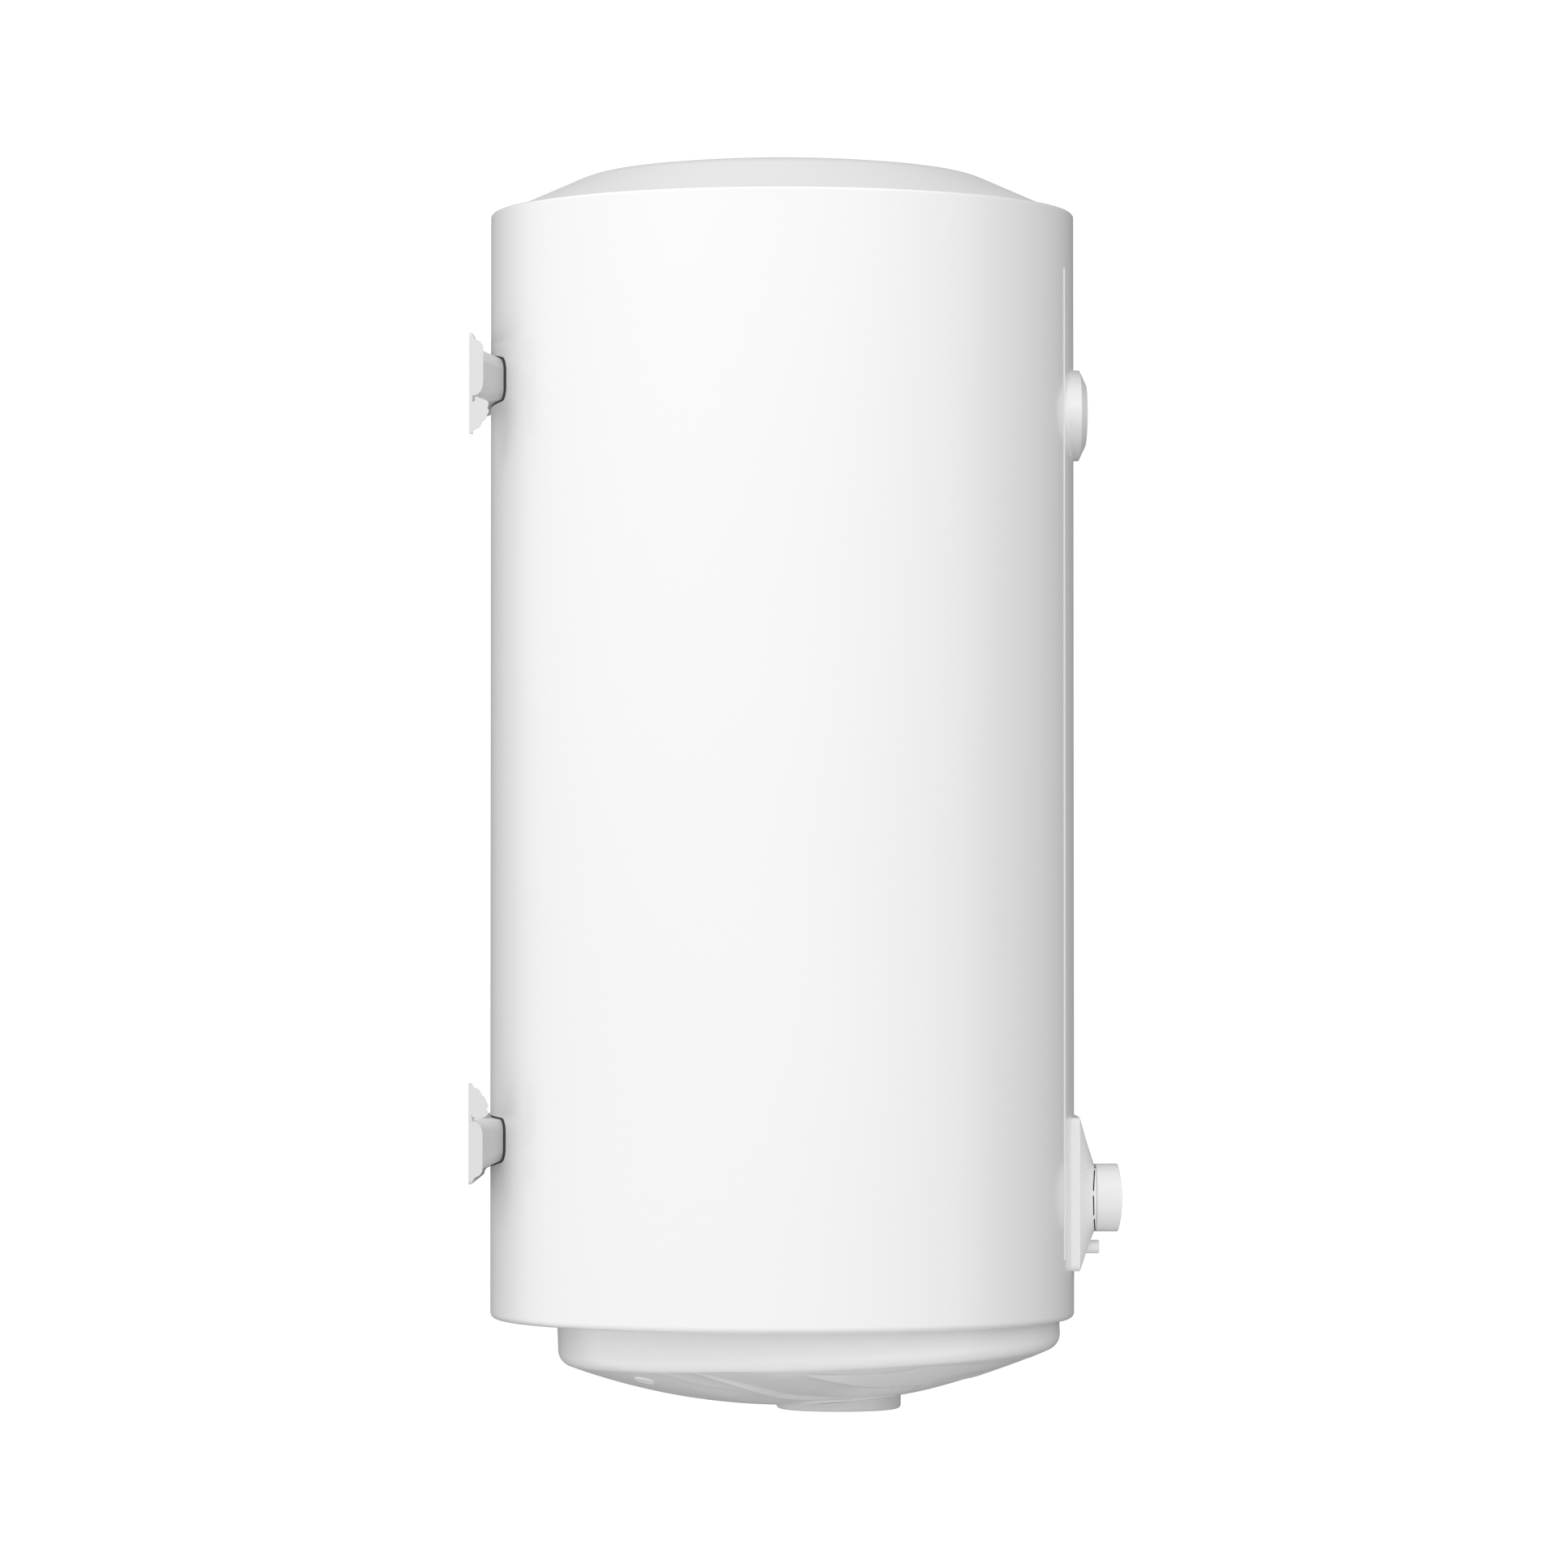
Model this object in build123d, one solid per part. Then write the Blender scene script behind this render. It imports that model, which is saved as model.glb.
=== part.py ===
from build123d import *
import math
import os

# Wall-hung electric storage water heater, 450 mm class.
# The heater is drawn about the axis of its casing, with z = 0 at the casing's bottom rim,
# the wall on the +Y side and the controls on the -Y side.
# On export every piece is moved so that the origin is the centre of the wall bolt pattern,
# on the wall's surface, halfway between the two brackets.

# ---- casing and lids -------------------------------------------------------
CASING_R = 225.0
CASING_H = 850.0
SHEET = 1.0
RIM_TOP_R = 2.0
RIM_BOTTOM_R = 5.0
TOP_LIP = 8.0
BOTTOM_LIP = 6.5
GAP = 0.3                      # clearance left between curved faces that lie together
FIT = 0.1                      # clearance of a fixed shaft or screw in its hole

GROOVE_ANGLE = 16.9            # degrees from the front centre line
GROOVE_TOOL_R = 4.35
GROOVE_DEPTH = 1.2
GROOVE_BOTTOM = 49.5
GROOVE_TOP = 803.0

LID_T = 2.0
LID_CROWN = 39.8
LID_CROWN_R = 1036.0
LID_EDGE_R = 216.0
LID_SLOPE = 24.0
LID_SHOULDER_R = 60.0

BASE_Z = 24.0                  # underside of the recessed bottom lid
BASE_T = 2.0
BASE_RIM = 14.0
ACCESS_R = 112.0

# ---- bottom cover ----------------------------------------------------------
COVER_R = 193.4
COVER_DEPTH = 66.0
COVER_CROWN_R = 493.0
COVER_KNEE_R = 12.0
COVER_T = 2.5
COVER_Y = -20.0
COVER_TILT = -2.01             # degrees about X, the front edge sits higher
PLUG_R = 48.0
PLUG_Y = -43.4
PLUG_Z = -69.8
PLUG_EDGE_R = 3.0
GROMMET_R = 8.0
GROMMET_X = -109.0
GROMMET_Y = 105.0

# ---- tank ------------------------------------------------------------------
TANK_R = 200.0
TANK_T = 2.0
TANK_Z0 = 130.0
TANK_Z1 = 775.0
DOME_H = 60.0
DOME_R = (TANK_R ** 2 + DOME_H ** 2) / (2 * DOME_H)

PIPE_R = 20.955 / 2            # G 1/2 nominal thread diameter
PIPE_BODY_R = 10.8
PIPE_THREAD_Z = 19.0           # top of the threaded end
PIPE_BORE_R = 8.0
PIPE_X = 50.0
PIPE_TANK_Y = 150.0
PIPE_END_Y = 190.0
PIPE_END_Z = 2.0
PIPE_TOP_Z = 128.0
PIPE_BEND_R = 22.0

COLLAR_R = 62.0
COLLAR_BORE_R = 56.0
COLLAR_FLANGE_R = 82.0
COLLAR_Z = 50.0
GASKET_T = 3.0
FLANGE_T = 5.0
STUD_COUNT = 6
STUD_PCD = 144.0
STUD_R = 4.0

# ---- wall brackets ---------------------------------------------------------
WALL_Y = 237.2                 # wall plane from the casing axis
BRACKET_MID_Z = 428.7          # halfway between the two brackets
BRACKET_TIP = 322.5            # from that height to the outer tip of each bracket
BRACKET_T = 2.5
FLANGE_HALF = 108.0
SLOT_X = 92.0
SLOT_DROP = 23.0
SLOT_R = 5.0
SLOT_LENGTH = 20.0
BACK_PLATE_H = 49.0
BACK_PLATE_T = 3.0
GAP_SIDE = 8.0                 # cut-out in the casing beside each bracket
GAP_END = 1.5                  # and above and below it
BRACKET_HALF = 75.0            # of the drafted middle, at the wall

# ---- control panel ---------------------------------------------------------
PANEL_HALF_W = 42.7
PANEL_Z0 = 37.2
PANEL_Z1 = 154.9
PANEL_RIM_Y = -228.0
PANEL_CORNER_R = 5.0
PANEL_TOP_Y = -240.2
PANEL_T = 2.2
KNOB_Z = 92.2
KNOB_R = 26.15
KNOB_BACK_Y = -241.9
KNOB_EDGE_Y = -258.6
KNOB_FRONT_Y = -261.1
COLLAR_RING_Y = -241.6
BUTTON_Z = 54.4
BUTTON_R = 5.2
BUTTON_END_Y = -244.4
SHORT_SLOT_ANGLE = 78.7         # slots in the collar, a short and a long one in each quarter
LONG_SLOT_ANGLE = 33.7
SADDLE = 2.0                   # how far the slots drop at the sides, as the casing curves away

# ---- temperature gauge -----------------------------------------------------
GAUGE_Z = 695.9
GAUGE_A = 59.5
GAUGE_B = 34.85
GAUGE_SIDE_Y = -229.0
GAUGE_FRONT_Y = -234.2
WINDOW_A = 47.5
WINDOW_B = 23.6
NEEDLE_PIVOT_DROP = 13.0


def upright(r, z0, z1, x=0.0, y=0.0):
    """A solid cylinder standing along Z."""
    return Pos(x, y, (z0 + z1) / 2) * Cylinder(r, z1 - z0)


def ring(r_out, r_in, z0, z1, x=0.0, y=0.0):
    """A tube standing along Z."""
    return upright(r_out, z0, z1, x, y) - upright(r_in, z0 - 1, z1 + 1, x, y)


def along_y(r, y0, y1, x=0.0, z=0.0):
    """A solid cylinder lying along Y."""
    return Pos(x, (y0 + y1) / 2, z) * Rot(90, 0, 0) * Cylinder(r, abs(y1 - y0))


def block(x0, x1, y0, y1, z0, z1):
    """A box between two corners."""
    centre = Pos((x0 + x1) / 2, (y0 + y1) / 2, (z0 + z1) / 2)
    return centre * Box(x1 - x0, y1 - y0, z1 - z0)


def front_plane(y, z):
    """A sketch plane facing the front, with its x to the right and its y up."""
    return Plane(origin=(0, y, z), x_dir=(1, 0, 0), z_dir=(0, -1, 0))


def front_plate(sketch, y0, y1, z):
    """A sketch pulled from y0 forward to y1."""
    return extrude(front_plane(y0, z) * sketch, amount=abs(y1 - y0))


def tube_along(points, bend, r, r_in=0.0):
    """A round rod or tube that follows straight runs joined by tangent arcs."""
    path = FilletPolyline(*points, radius=bend)
    start = Plane(origin=path @ 0, z_dir=path % 0)
    rod = sweep(start * Circle(r), path=path)
    if r_in:
        rod = rod - sweep(start * Circle(r_in), path=path)
    return rod


def group(shapes):
    """Several separate solids of one node."""
    return Compound(children=[solid for shape in shapes for solid in shape.solids()])


# ---- casing ----------------------------------------------------------------
def capsule(r, angle):
    """The round-ended tool of one decorative groove beside the front centre line."""
    reach = CASING_R + GROOVE_TOOL_R - GROOVE_DEPTH
    x = reach * math.sin(math.radians(angle))
    y = -reach * math.cos(math.radians(angle))
    shaft = upright(r, GROOVE_BOTTOM, GROOVE_TOP, x, y)
    return shaft + Pos(x, y, GROOVE_BOTTOM) * Sphere(r) + Pos(x, y, GROOVE_TOP) * Sphere(r)


def casing_skin(inset):
    """The casing's outside, or its inside when inset by the sheet."""
    body = upright(CASING_R - inset, inset, CASING_H - inset)
    body = fillet(body.edges().group_by(Axis.Z)[-1], RIM_TOP_R - inset + 0.2)
    body = fillet(body.edges().group_by(Axis.Z)[0], RIM_BOTTOM_R - inset)
    for angle in (-GROOVE_ANGLE, GROOVE_ANGLE):
        body = body - capsule(GROOVE_TOOL_R + inset, angle)
    return body


def outer_casing():
    """Rolled sheet casing with turned-in rims, two pressed grooves and its cut-outs."""
    shell = casing_skin(0.0) - casing_skin(SHEET)
    shell = shell - upright(CASING_R - TOP_LIP, CASING_H - 5, CASING_H + 5)
    shell = shell - upright(CASING_R - BOTTOM_LIP, -5, 5)
    control_window = front_plate(RectangleRounded(60, 96, 8), -200, -230, 93)
    shell = shell - control_window - along_y(6.2, -230, -215, 0, GAUGE_Z - NEEDLE_PIVOT_DROP)
    cutout = bracket_mass(-GAP_SIDE, -GAP_END)
    return shell - cutout - turned_over(cutout)


def lid_outline(drop):
    """The half section under the top lid's outer surface, lowered by drop."""
    knee_r = LID_CROWN_R * (math.tan(math.radians(LID_SLOPE)) - math.sqrt(
        math.tan(math.radians(LID_SLOPE)) ** 2
        - 2 * (LID_EDGE_R * math.tan(math.radians(LID_SLOPE)) - LID_CROWN) / LID_CROWN_R))
    knee_z = LID_CROWN - knee_r ** 2 / (2 * LID_CROWN_R)
    half_z = LID_CROWN - knee_r ** 2 / (8 * LID_CROWN_R)
    crown = ThreePointArc((0, LID_CROWN - drop), (knee_r / 2, half_z - drop), (knee_r, knee_z - drop))
    slope = Line((knee_r, knee_z - drop), (LID_EDGE_R, -drop))
    side = Line((LID_EDGE_R, -drop), (LID_EDGE_R, -6))
    floor = Line((LID_EDGE_R, -6), (0, -6))
    axis = Line((0, -6), (0, LID_CROWN - drop))
    outline = make_face([crown, slope, side, floor, axis])
    knee = outline.vertices().sort_by_distance((knee_r, knee_z - drop))[0]
    return fillet(knee, LID_SHOULDER_R)


def top_lid():
    """Domed plastic lid whose flange is held under the casing's turned-in top rim."""
    outside = revolve(Plane.XZ * lid_outline(0.0), Axis.Z)
    inside = revolve(Plane.XZ * lid_outline(LID_T), Axis.Z)
    dome = Pos(0, 0, CASING_H) * (outside - inside)
    dome = dome & upright(LID_EDGE_R, CASING_H - SHEET - 1.5, CASING_H + 60)
    flange = ring(CASING_R - SHEET - RIM_TOP_R, LID_EDGE_R - 9, CASING_H - SHEET - 1.5, CASING_H - SHEET)
    return dome + flange


def bottom_lid():
    """Recessed bottom closing plate with an upturned rim and the holes for the pipes."""
    plate = ring(CASING_R - SHEET - GAP, ACCESS_R, BASE_Z, BASE_Z + BASE_T)
    outer = CASING_R - SHEET - GAP
    plate = plate + ring(outer, outer - BASE_T, BASE_Z, BASE_Z + BASE_RIM)
    for x in (-PIPE_X, PIPE_X):
        plate = plate - upright(PIPE_BODY_R + FIT, 0, 60, x, PIPE_END_Y)
    return plate


# ---- bottom cover ----------------------------------------------------------
def cover_bowl(inset):
    """The solid bowl inside the cover's surface, inset from its outside."""
    r = COVER_R - inset
    crown_r = COVER_CROWN_R - inset
    centre_z = COVER_CROWN_R - COVER_DEPTH
    wall_z = centre_z - math.sqrt(crown_r ** 2 - r ** 2)
    half_z = centre_z - math.sqrt(crown_r ** 2 - (r / 2) ** 2)
    bottom = (0, inset - COVER_DEPTH)
    crown = ThreePointArc(bottom, (r / 2, half_z), (r, wall_z))
    wall = Line((r, wall_z), (r, 45))
    roof = Line((r, 45), (0, 45))
    axis = Line((0, 45), bottom)
    outline = make_face([crown, wall, roof, axis])
    knee = outline.vertices().sort_by_distance((r, wall_z))[0]
    outline = fillet(knee, max(COVER_KNEE_R - inset, 2.0))
    bowl = revolve(Plane.XZ * outline, Axis.Z)
    return Pos(0, COVER_Y, 0) * Rot(COVER_TILT, 0, 0) * bowl


def below_base():
    """Everything under the recessed bottom lid."""
    return block(-300, 300, -300, 300, -120, BASE_Z)


def cover_underside_z(x, y):
    """The height of the cover's outer surface at a point, with its tilt."""
    tilt = math.radians(COVER_TILT)
    r = math.hypot(x, y - COVER_Y)
    local = COVER_CROWN_R - COVER_DEPTH - math.sqrt(COVER_CROWN_R ** 2 - r ** 2)
    return local * math.cos(tilt) + (y - COVER_Y) * math.sin(tilt)


def grommet_axis():
    """The place of the cable grommet, with Z along the cover's local normal."""
    z = cover_underside_z(GROMMET_X, GROMMET_Y)
    centre = Vector(0, COVER_Y, COVER_CROWN_R - COVER_DEPTH)
    outward = Vector(GROMMET_X, GROMMET_Y, z) - centre
    return Plane(origin=(GROMMET_X, GROMMET_Y, z), z_dir=outward.normalized())


def bottom_cover():
    """Tilted plastic bowl over the service space, with its screw and cable holes."""
    cover = (cover_bowl(0.0) - cover_bowl(COVER_T)) & below_base()
    cover = cover - upright(3.4, -80, 0, 0, PLUG_Y)
    return cover - grommet_axis() * Cylinder(GROMMET_R, 20)


def bottom_cover_plug():
    """Level round cap in the middle of the cover, over the head of its screw."""
    disc = upright(PLUG_R, PLUG_Z, -40, 0, PLUG_Y)
    disc = fillet(disc.edges().group_by(Axis.Z)[0], PLUG_EDGE_R)
    disc = disc - cover_bowl(-0.05)
    return disc - upright(10, PLUG_Z + 2, 0, 0, PLUG_Y)


def cover_screw():
    """Long screw that holds the cover to the heater flange."""
    seat = cover_underside_z(0, PLUG_Y + 9) - 0.1
    head = upright(8, PLUG_Z + 2.1, seat, 0, PLUG_Y)
    return head + upright(3, seat - 1, COLLAR_Z - GASKET_T - 1, 0, PLUG_Y)


def cable_grommet():
    """Blank membrane of the mains cable entry, flush in the cover."""
    plug = grommet_axis() * Cylinder(GROMMET_R, 14)
    button = plug & (cover_bowl(-0.5) - cover_bowl(COVER_T + 1.0))
    return button


# ---- tank ------------------------------------------------------------------
def dome_solid(inset, top):
    """A spherical cap of the tank, measured to its outside less the inset."""
    edge_z = TANK_Z1 if top else TANK_Z0
    sign = 1 if top else -1
    centre_z = edge_z + sign * (DOME_H - DOME_R)
    ball = Pos(0, 0, centre_z) * Sphere(DOME_R - inset)
    low, high = (edge_z, edge_z + 200) if top else (edge_z - 200, edge_z)
    return ball & upright(TANK_R + 5, low, high)


def tank_solid(grow):
    """The outside of the whole tank, grown evenly."""
    body = upright(TANK_R + grow, TANK_Z0, TANK_Z1)
    return body + dome_solid(-grow, True) + dome_solid(-grow, False)


def tank_shell():
    """Rolled cylindrical wall of the inner tank."""
    return ring(TANK_R, TANK_R - TANK_T, TANK_Z0, TANK_Z1)


def tank_dome(top):
    """One pressed end of the inner tank."""
    dome = dome_solid(0.0, top) - dome_solid(TANK_T, top)
    if not top:
        dome = dome - upright(COLLAR_R + FIT, 0, TANK_Z0, 0, 0)
        for x in (-PIPE_X, PIPE_X):
            dome = dome - upright(PIPE_BODY_R + FIT, 0, TANK_Z0, x, PIPE_TANK_Y)
    return dome


def water_pipe(x):
    """A threaded water connection, offset from the tank to the space behind the cover."""
    lower_z = (PIPE_TOP_Z + PIPE_END_Z) / 2 - 9
    route = [
        (x, PIPE_TANK_Y, PIPE_TOP_Z),
        (x, PIPE_TANK_Y, lower_z + 26),
        (x, PIPE_END_Y, lower_z),
        (x, PIPE_END_Y, PIPE_THREAD_Z),
    ]
    body = tube_along(route, PIPE_BEND_R, PIPE_BODY_R, PIPE_BORE_R)
    return body + ring(PIPE_R, PIPE_BORE_R, PIPE_END_Z, PIPE_THREAD_Z, x, PIPE_END_Y)


def marker_ring(x):
    """Coloured ring that marks a water connection under the bottom lid."""
    return ring(15.5, PIPE_BODY_R + FIT, BASE_Z - 3, BASE_Z, x, PIPE_END_Y)


def inlet_diffuser():
    """Slotted cap that spreads the cold water along the tank's bottom."""
    cap = upright(14, PIPE_TOP_Z, PIPE_TOP_Z + 26, PIPE_X, PIPE_TANK_Y)
    cap = cap - upright(11.5, PIPE_TOP_Z - 1, PIPE_TOP_Z + 23, PIPE_X, PIPE_TANK_Y)
    for turn in range(3):
        slot = Box(40, 5, 9)
        cap = cap - Pos(PIPE_X, PIPE_TANK_Y, PIPE_TOP_Z + 13) * Rot(0, 0, 60 * turn) * slot
    foot = ring(14, PIPE_BODY_R + FIT, PIPE_TOP_Z - 8, PIPE_TOP_Z, PIPE_X, PIPE_TANK_Y)
    return cap + foot


def outlet_dip_tube():
    """Hot water draw-off tube up to the top of the tank."""
    return ring(PIPE_R, PIPE_BORE_R, PIPE_TOP_Z, TANK_Z1 + 8, -PIPE_X, PIPE_TANK_Y)


# ---- heater flange ---------------------------------------------------------
def stud_places():
    """The x and y of the flange studs."""
    turn = 2 * math.pi / STUD_COUNT
    r = STUD_PCD / 2
    return [(r * math.cos(turn * i), r * math.sin(turn * i)) for i in range(STUD_COUNT)]


def flange_collar():
    """Welded neck of the tank's service opening, with its bolting flange."""
    neck = ring(COLLAR_R, COLLAR_BORE_R, COLLAR_Z, TANK_Z0 - DOME_H + 14)
    collar = neck + ring(COLLAR_FLANGE_R, COLLAR_BORE_R, COLLAR_Z, COLLAR_Z + 6)
    for x, y in stud_places():
        collar = collar - upright(STUD_R + FIT, 0, 100, x, y)
    return collar


def flange_gasket():
    """Flat rubber ring between the neck and the heater flange."""
    return ring(STUD_PCD / 2 - STUD_R - 2, COLLAR_BORE_R, COLLAR_Z - GASKET_T, COLLAR_Z)


ELEMENT_X = 18.0
ELEMENT_Y = -14.0
ELEMENT_R = 4.2
WELL_PLACE = (22.0, 26.0)
WELL_R = 7.0
ANODE_PLACE = (-24.0, 26.0)


def heater_flange():
    """Plate that carries the heating element, the thermowell and the anode."""
    top = COLLAR_Z - GASKET_T
    plate = upright(COLLAR_FLANGE_R, top - FLANGE_T, top)
    for x, y in stud_places():
        plate = plate - upright(STUD_R + FIT, 0, 100, x, y)
    for x in (-ELEMENT_X, ELEMENT_X):
        plate = plate - upright(ELEMENT_R + FIT, 0, 100, x, ELEMENT_Y)
    plate = plate - upright(WELL_R + FIT, 0, 100, *WELL_PLACE)
    plate = plate - upright(4 + FIT, 0, 100, *ANODE_PLACE)
    return plate - upright(3 + FIT, 0, 100, 0, PLUG_Y)


def flange_studs():
    """Studs welded in the neck's flange."""
    return group([upright(STUD_R, 30, COLLAR_Z + 6, x, y) for x, y in stud_places()])


def flange_nuts():
    """Hexagon nuts under the heater flange."""
    top = COLLAR_Z - GASKET_T - FLANGE_T
    nuts = []
    for x, y in stud_places():
        nut = extrude(Plane.XY.offset(top - 6.5) * RegularPolygon(7.5, 6), amount=6.5)
        nuts.append(Pos(x, y, 0) * nut - upright(STUD_R + FIT, 0, 100, x, y))
    return group(nuts)


def heating_element():
    """Sheathed U-shaped heating element."""
    route = [
        (-ELEMENT_X, ELEMENT_Y, 32),
        (-ELEMENT_X, ELEMENT_Y, 330),
        (ELEMENT_X, ELEMENT_Y, 330),
        (ELEMENT_X, ELEMENT_Y, 32),
    ]
    return tube_along(route, ELEMENT_X - 0.5, ELEMENT_R)


def element_terminals():
    """Ceramic beads and flat tabs on the two ends of the element."""
    ends = []
    for x in (-ELEMENT_X, ELEMENT_X):
        bead = upright(5.5, 27, 32, x, ELEMENT_Y)
        tab = block(x - 3.2, x + 3.2, ELEMENT_Y - 0.4, ELEMENT_Y + 0.4, 17, 27)
        ends.append(bead + tab)
    return group(ends)


def thermowell():
    """Closed tube that takes the thermostat's bulb."""
    x, y = WELL_PLACE
    return upright(WELL_R, 40, 300, x, y) - upright(WELL_R - 1, 39, 299, x, y)


def anode_rod():
    """Sacrificial magnesium rod."""
    x, y = ANODE_PLACE
    return upright(11, 60, 430, x, y)


def anode_stud():
    """Threaded stud of the anode with its nut under the flange."""
    x, y = ANODE_PLACE
    top = COLLAR_Z - GASKET_T - FLANGE_T
    nut = Pos(x, y, 0) * extrude(Plane.XY.offset(top - 6) * RegularPolygon(7.5, 6), amount=6)
    washer = upright(10, COLLAR_Z - GASKET_T, COLLAR_Z - GASKET_T + 2, x, y)
    return upright(4, top - 10, 60, x, y) + nut + washer


def safety_cutout():
    """Manual-reset over-temperature cut-out on a bracket under the flange."""
    top = COLLAR_Z - GASKET_T - FLANGE_T
    body = upright(15, top - 16, top, 46, -10)
    tabs = block(32, 60, -14, -6, top - 21, top - 16)
    hub = upright(5, top - 24, top - 16, 46, -10)
    return body + tabs + hub - upright(2.2, top - 30, top - 12, 46, -10)


def cutout_reset_button():
    """Reset pin of the safety cut-out."""
    top = COLLAR_Z - GASKET_T - FLANGE_T
    return upright(2.15, top - 26.5, top - 15, 46, -10)


# ---- insulation ------------------------------------------------------------
def control_pocket():
    """Space left in the foam for the thermostat and the switch."""
    return block(-32, 32, -CASING_R, -ACCESS_R + 12, 0, 152)


def foam_insulation():
    """Foamed-in-place insulation between the tank and the casing."""
    foam = upright(CASING_R - SHEET - BASE_T - 2 * GAP, BASE_Z + BASE_T, CASING_H - 3.5)
    foam = foam - tank_solid(GAP)
    foam = foam - upright(ACCESS_R + 2, 0, TANK_Z0) - control_pocket()
    foam = foam - along_y(6.5, -CASING_R, -TANK_R + 2, 0, GAUGE_Z - NEEDLE_PIVOT_DROP)
    cutout = bracket_mass(-GAP_SIDE, -GAP_END)
    foam = foam - cutout - turned_over(cutout)
    route_z = (PIPE_TOP_Z + PIPE_END_Z) / 2 - 9
    for x in (-PIPE_X, PIPE_X):
        foam = foam - block(x - 13, x + 13, PIPE_TANK_Y - 13, PIPE_END_Y + 13, 0, route_z + 70)
    return foam


# ---- wall brackets ---------------------------------------------------------
def tray(near, far, corner):
    """A drafted block standing off the wall, from its section near the wall to its far one.

    Each section is (half width, first drop, last drop, distance from the wall).
    """
    sections = []
    for half, v0, v1, d in (near, far):
        z = BRACKET_MID_Z + BRACKET_TIP - (v0 + v1) / 2
        sections.append(front_plane(WALL_Y - d, z) * RectangleRounded(2 * half, v1 - v0, corner))
    return loft(sections)


def bracket_mass(side, end):
    """The bracket's drafted form from its back plate to the tank, inset at its sides and ends.

    A negative inset grows it, to give its cut-out in the casing and the foam.
    """
    start = -1 if side > 0 else BACK_PLATE_T - 0.1
    corner = 8 - end
    near = BRACKET_HALF - side
    far = near - 2.5
    drafted = tray((near, 8 + end, 50 - end, start), (far, 18.5 + end, 47.5 - end, 27.4), corner)
    stem = tray((far, 18.5 + end, 47.5 - end, 27.3), (far, 18.5 + end, 47.5 - end, 60), corner)
    return drafted + stem - upright(TANK_R + max(side, 0) + 0.05, 0, CASING_H)


def turned_over(shape):
    """The same shape turned over for the lower bracket."""
    return mirror(shape, Plane.XY.offset(BRACKET_MID_Z))


def end_tab(outline):
    """A tab folded forward at the back plate's left end, from an outline of (distance, drop)."""
    tip = BRACKET_MID_Z + BRACKET_TIP
    corners = [(WALL_Y - d, tip - v) for d, v in outline]
    face = Plane.YZ * make_face(Polyline(corners, close=True))
    tab = extrude(face, amount=BRACKET_T)
    return Pos(-FLANGE_HALF - tab.bounding_box().min.X, 0, 0) * tab


SIDE_TAB = (
    (0, 2.6), (3, 2.6), (4.7, 5.0), (8.6, 6.9), (10.3, 9.3), (10.7, 11.6), (10.7, 38),
    (10.2, 41.3), (8.8, 44.4), (6.8, 46.6), (4.7, 47.6), (0, 47.8),
)
FOOT_TAB = (
    (0, 48.6), (1.2, 47.9), (2.5, 49.5), (2.5, 52.8), (4.4, 51.6), (4.3, 50.2), (5.1, 48.3),
    (7.4, 49.4), (12.9, 51.3), (14.8, 52.9), (14.6, 55.2), (13.8, 57), (15.1, 59.4), (12.2, 66),
    (10.1, 67.5), (9.1, 69.9), (7.8, 71.8), (3.4, 74), (3, 75.8), (2.2, 76.6), (0.6, 76.6), (0, 75.9),
)


def upper_wall_bracket():
    """Pressed steel bracket: a slotted back plate with folded tabs and a drafted middle."""
    tip = BRACKET_MID_Z + BRACKET_TIP
    outline = RectangleRounded(2 * FLANGE_HALF, BACK_PLATE_H, 3)
    plate = front_plate(outline, WALL_Y, WALL_Y - BACK_PLATE_T, tip - BACK_PLATE_H / 2)
    plate = fillet(plate.edges().group_by(Axis.Y)[0], 1.2)
    side = end_tab(SIDE_TAB)
    bracket = plate + side + mirror(side, Plane.YZ) + end_tab(FOOT_TAB)
    foot_root = block(-FLANGE_HALF, -FLANGE_HALF + 14, WALL_Y - BRACKET_T, WALL_Y, tip - 76, tip - 46)
    bracket = bracket + foot_root
    bracket = bracket + bracket_mass(0.0, 0.0) - bracket_mass(BRACKET_T, BRACKET_T)
    for x in (-SLOT_X, SLOT_X):
        slot = front_plate(SlotOverall(SLOT_LENGTH, 2 * SLOT_R), WALL_Y + 1, WALL_Y - 5, tip - SLOT_DROP)
        bracket = bracket - Pos(x, 0, 0) * slot
    return bracket


def lower_wall_bracket():
    """The same bracket turned over for the lower fixing."""
    return turned_over(upper_wall_bracket())


def upper_bracket_seal():
    """Dark foam strip that fills the cut-out around the upper bracket, level with the sheet."""
    strip = bracket_mass(-GAP_SIDE + 0.05, -GAP_END + 0.05) - bracket_mass(-0.05, -0.05)
    return strip & ring(CASING_R - 0.3, CASING_R - 6, 0, CASING_H)


def lower_bracket_seal():
    """The same strip around the lower bracket."""
    return turned_over(upper_bracket_seal())


# ---- control panel ---------------------------------------------------------
def panel_form(inset):
    """The panel's outer form: a straight rim, then a face that rises to the knob."""
    width = 2 * (PANEL_HALF_W - inset)
    height = PANEL_Z1 - PANEL_Z0 - 2 * inset
    z = (PANEL_Z0 + PANEL_Z1) / 2
    corner = PANEL_CORNER_R - inset / 2
    rim = front_plate(RectangleRounded(width, height, corner), -205, PANEL_RIM_Y + inset, z)
    base = front_plane(PANEL_RIM_Y + inset, z) * RectangleRounded(width - 0.4, height - 0.4, corner)
    peak = front_plane(PANEL_TOP_Y + inset, KNOB_Z) * Circle(KNOB_R + 0.35 - inset / 2)
    return rim + loft([base, peak])


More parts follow.
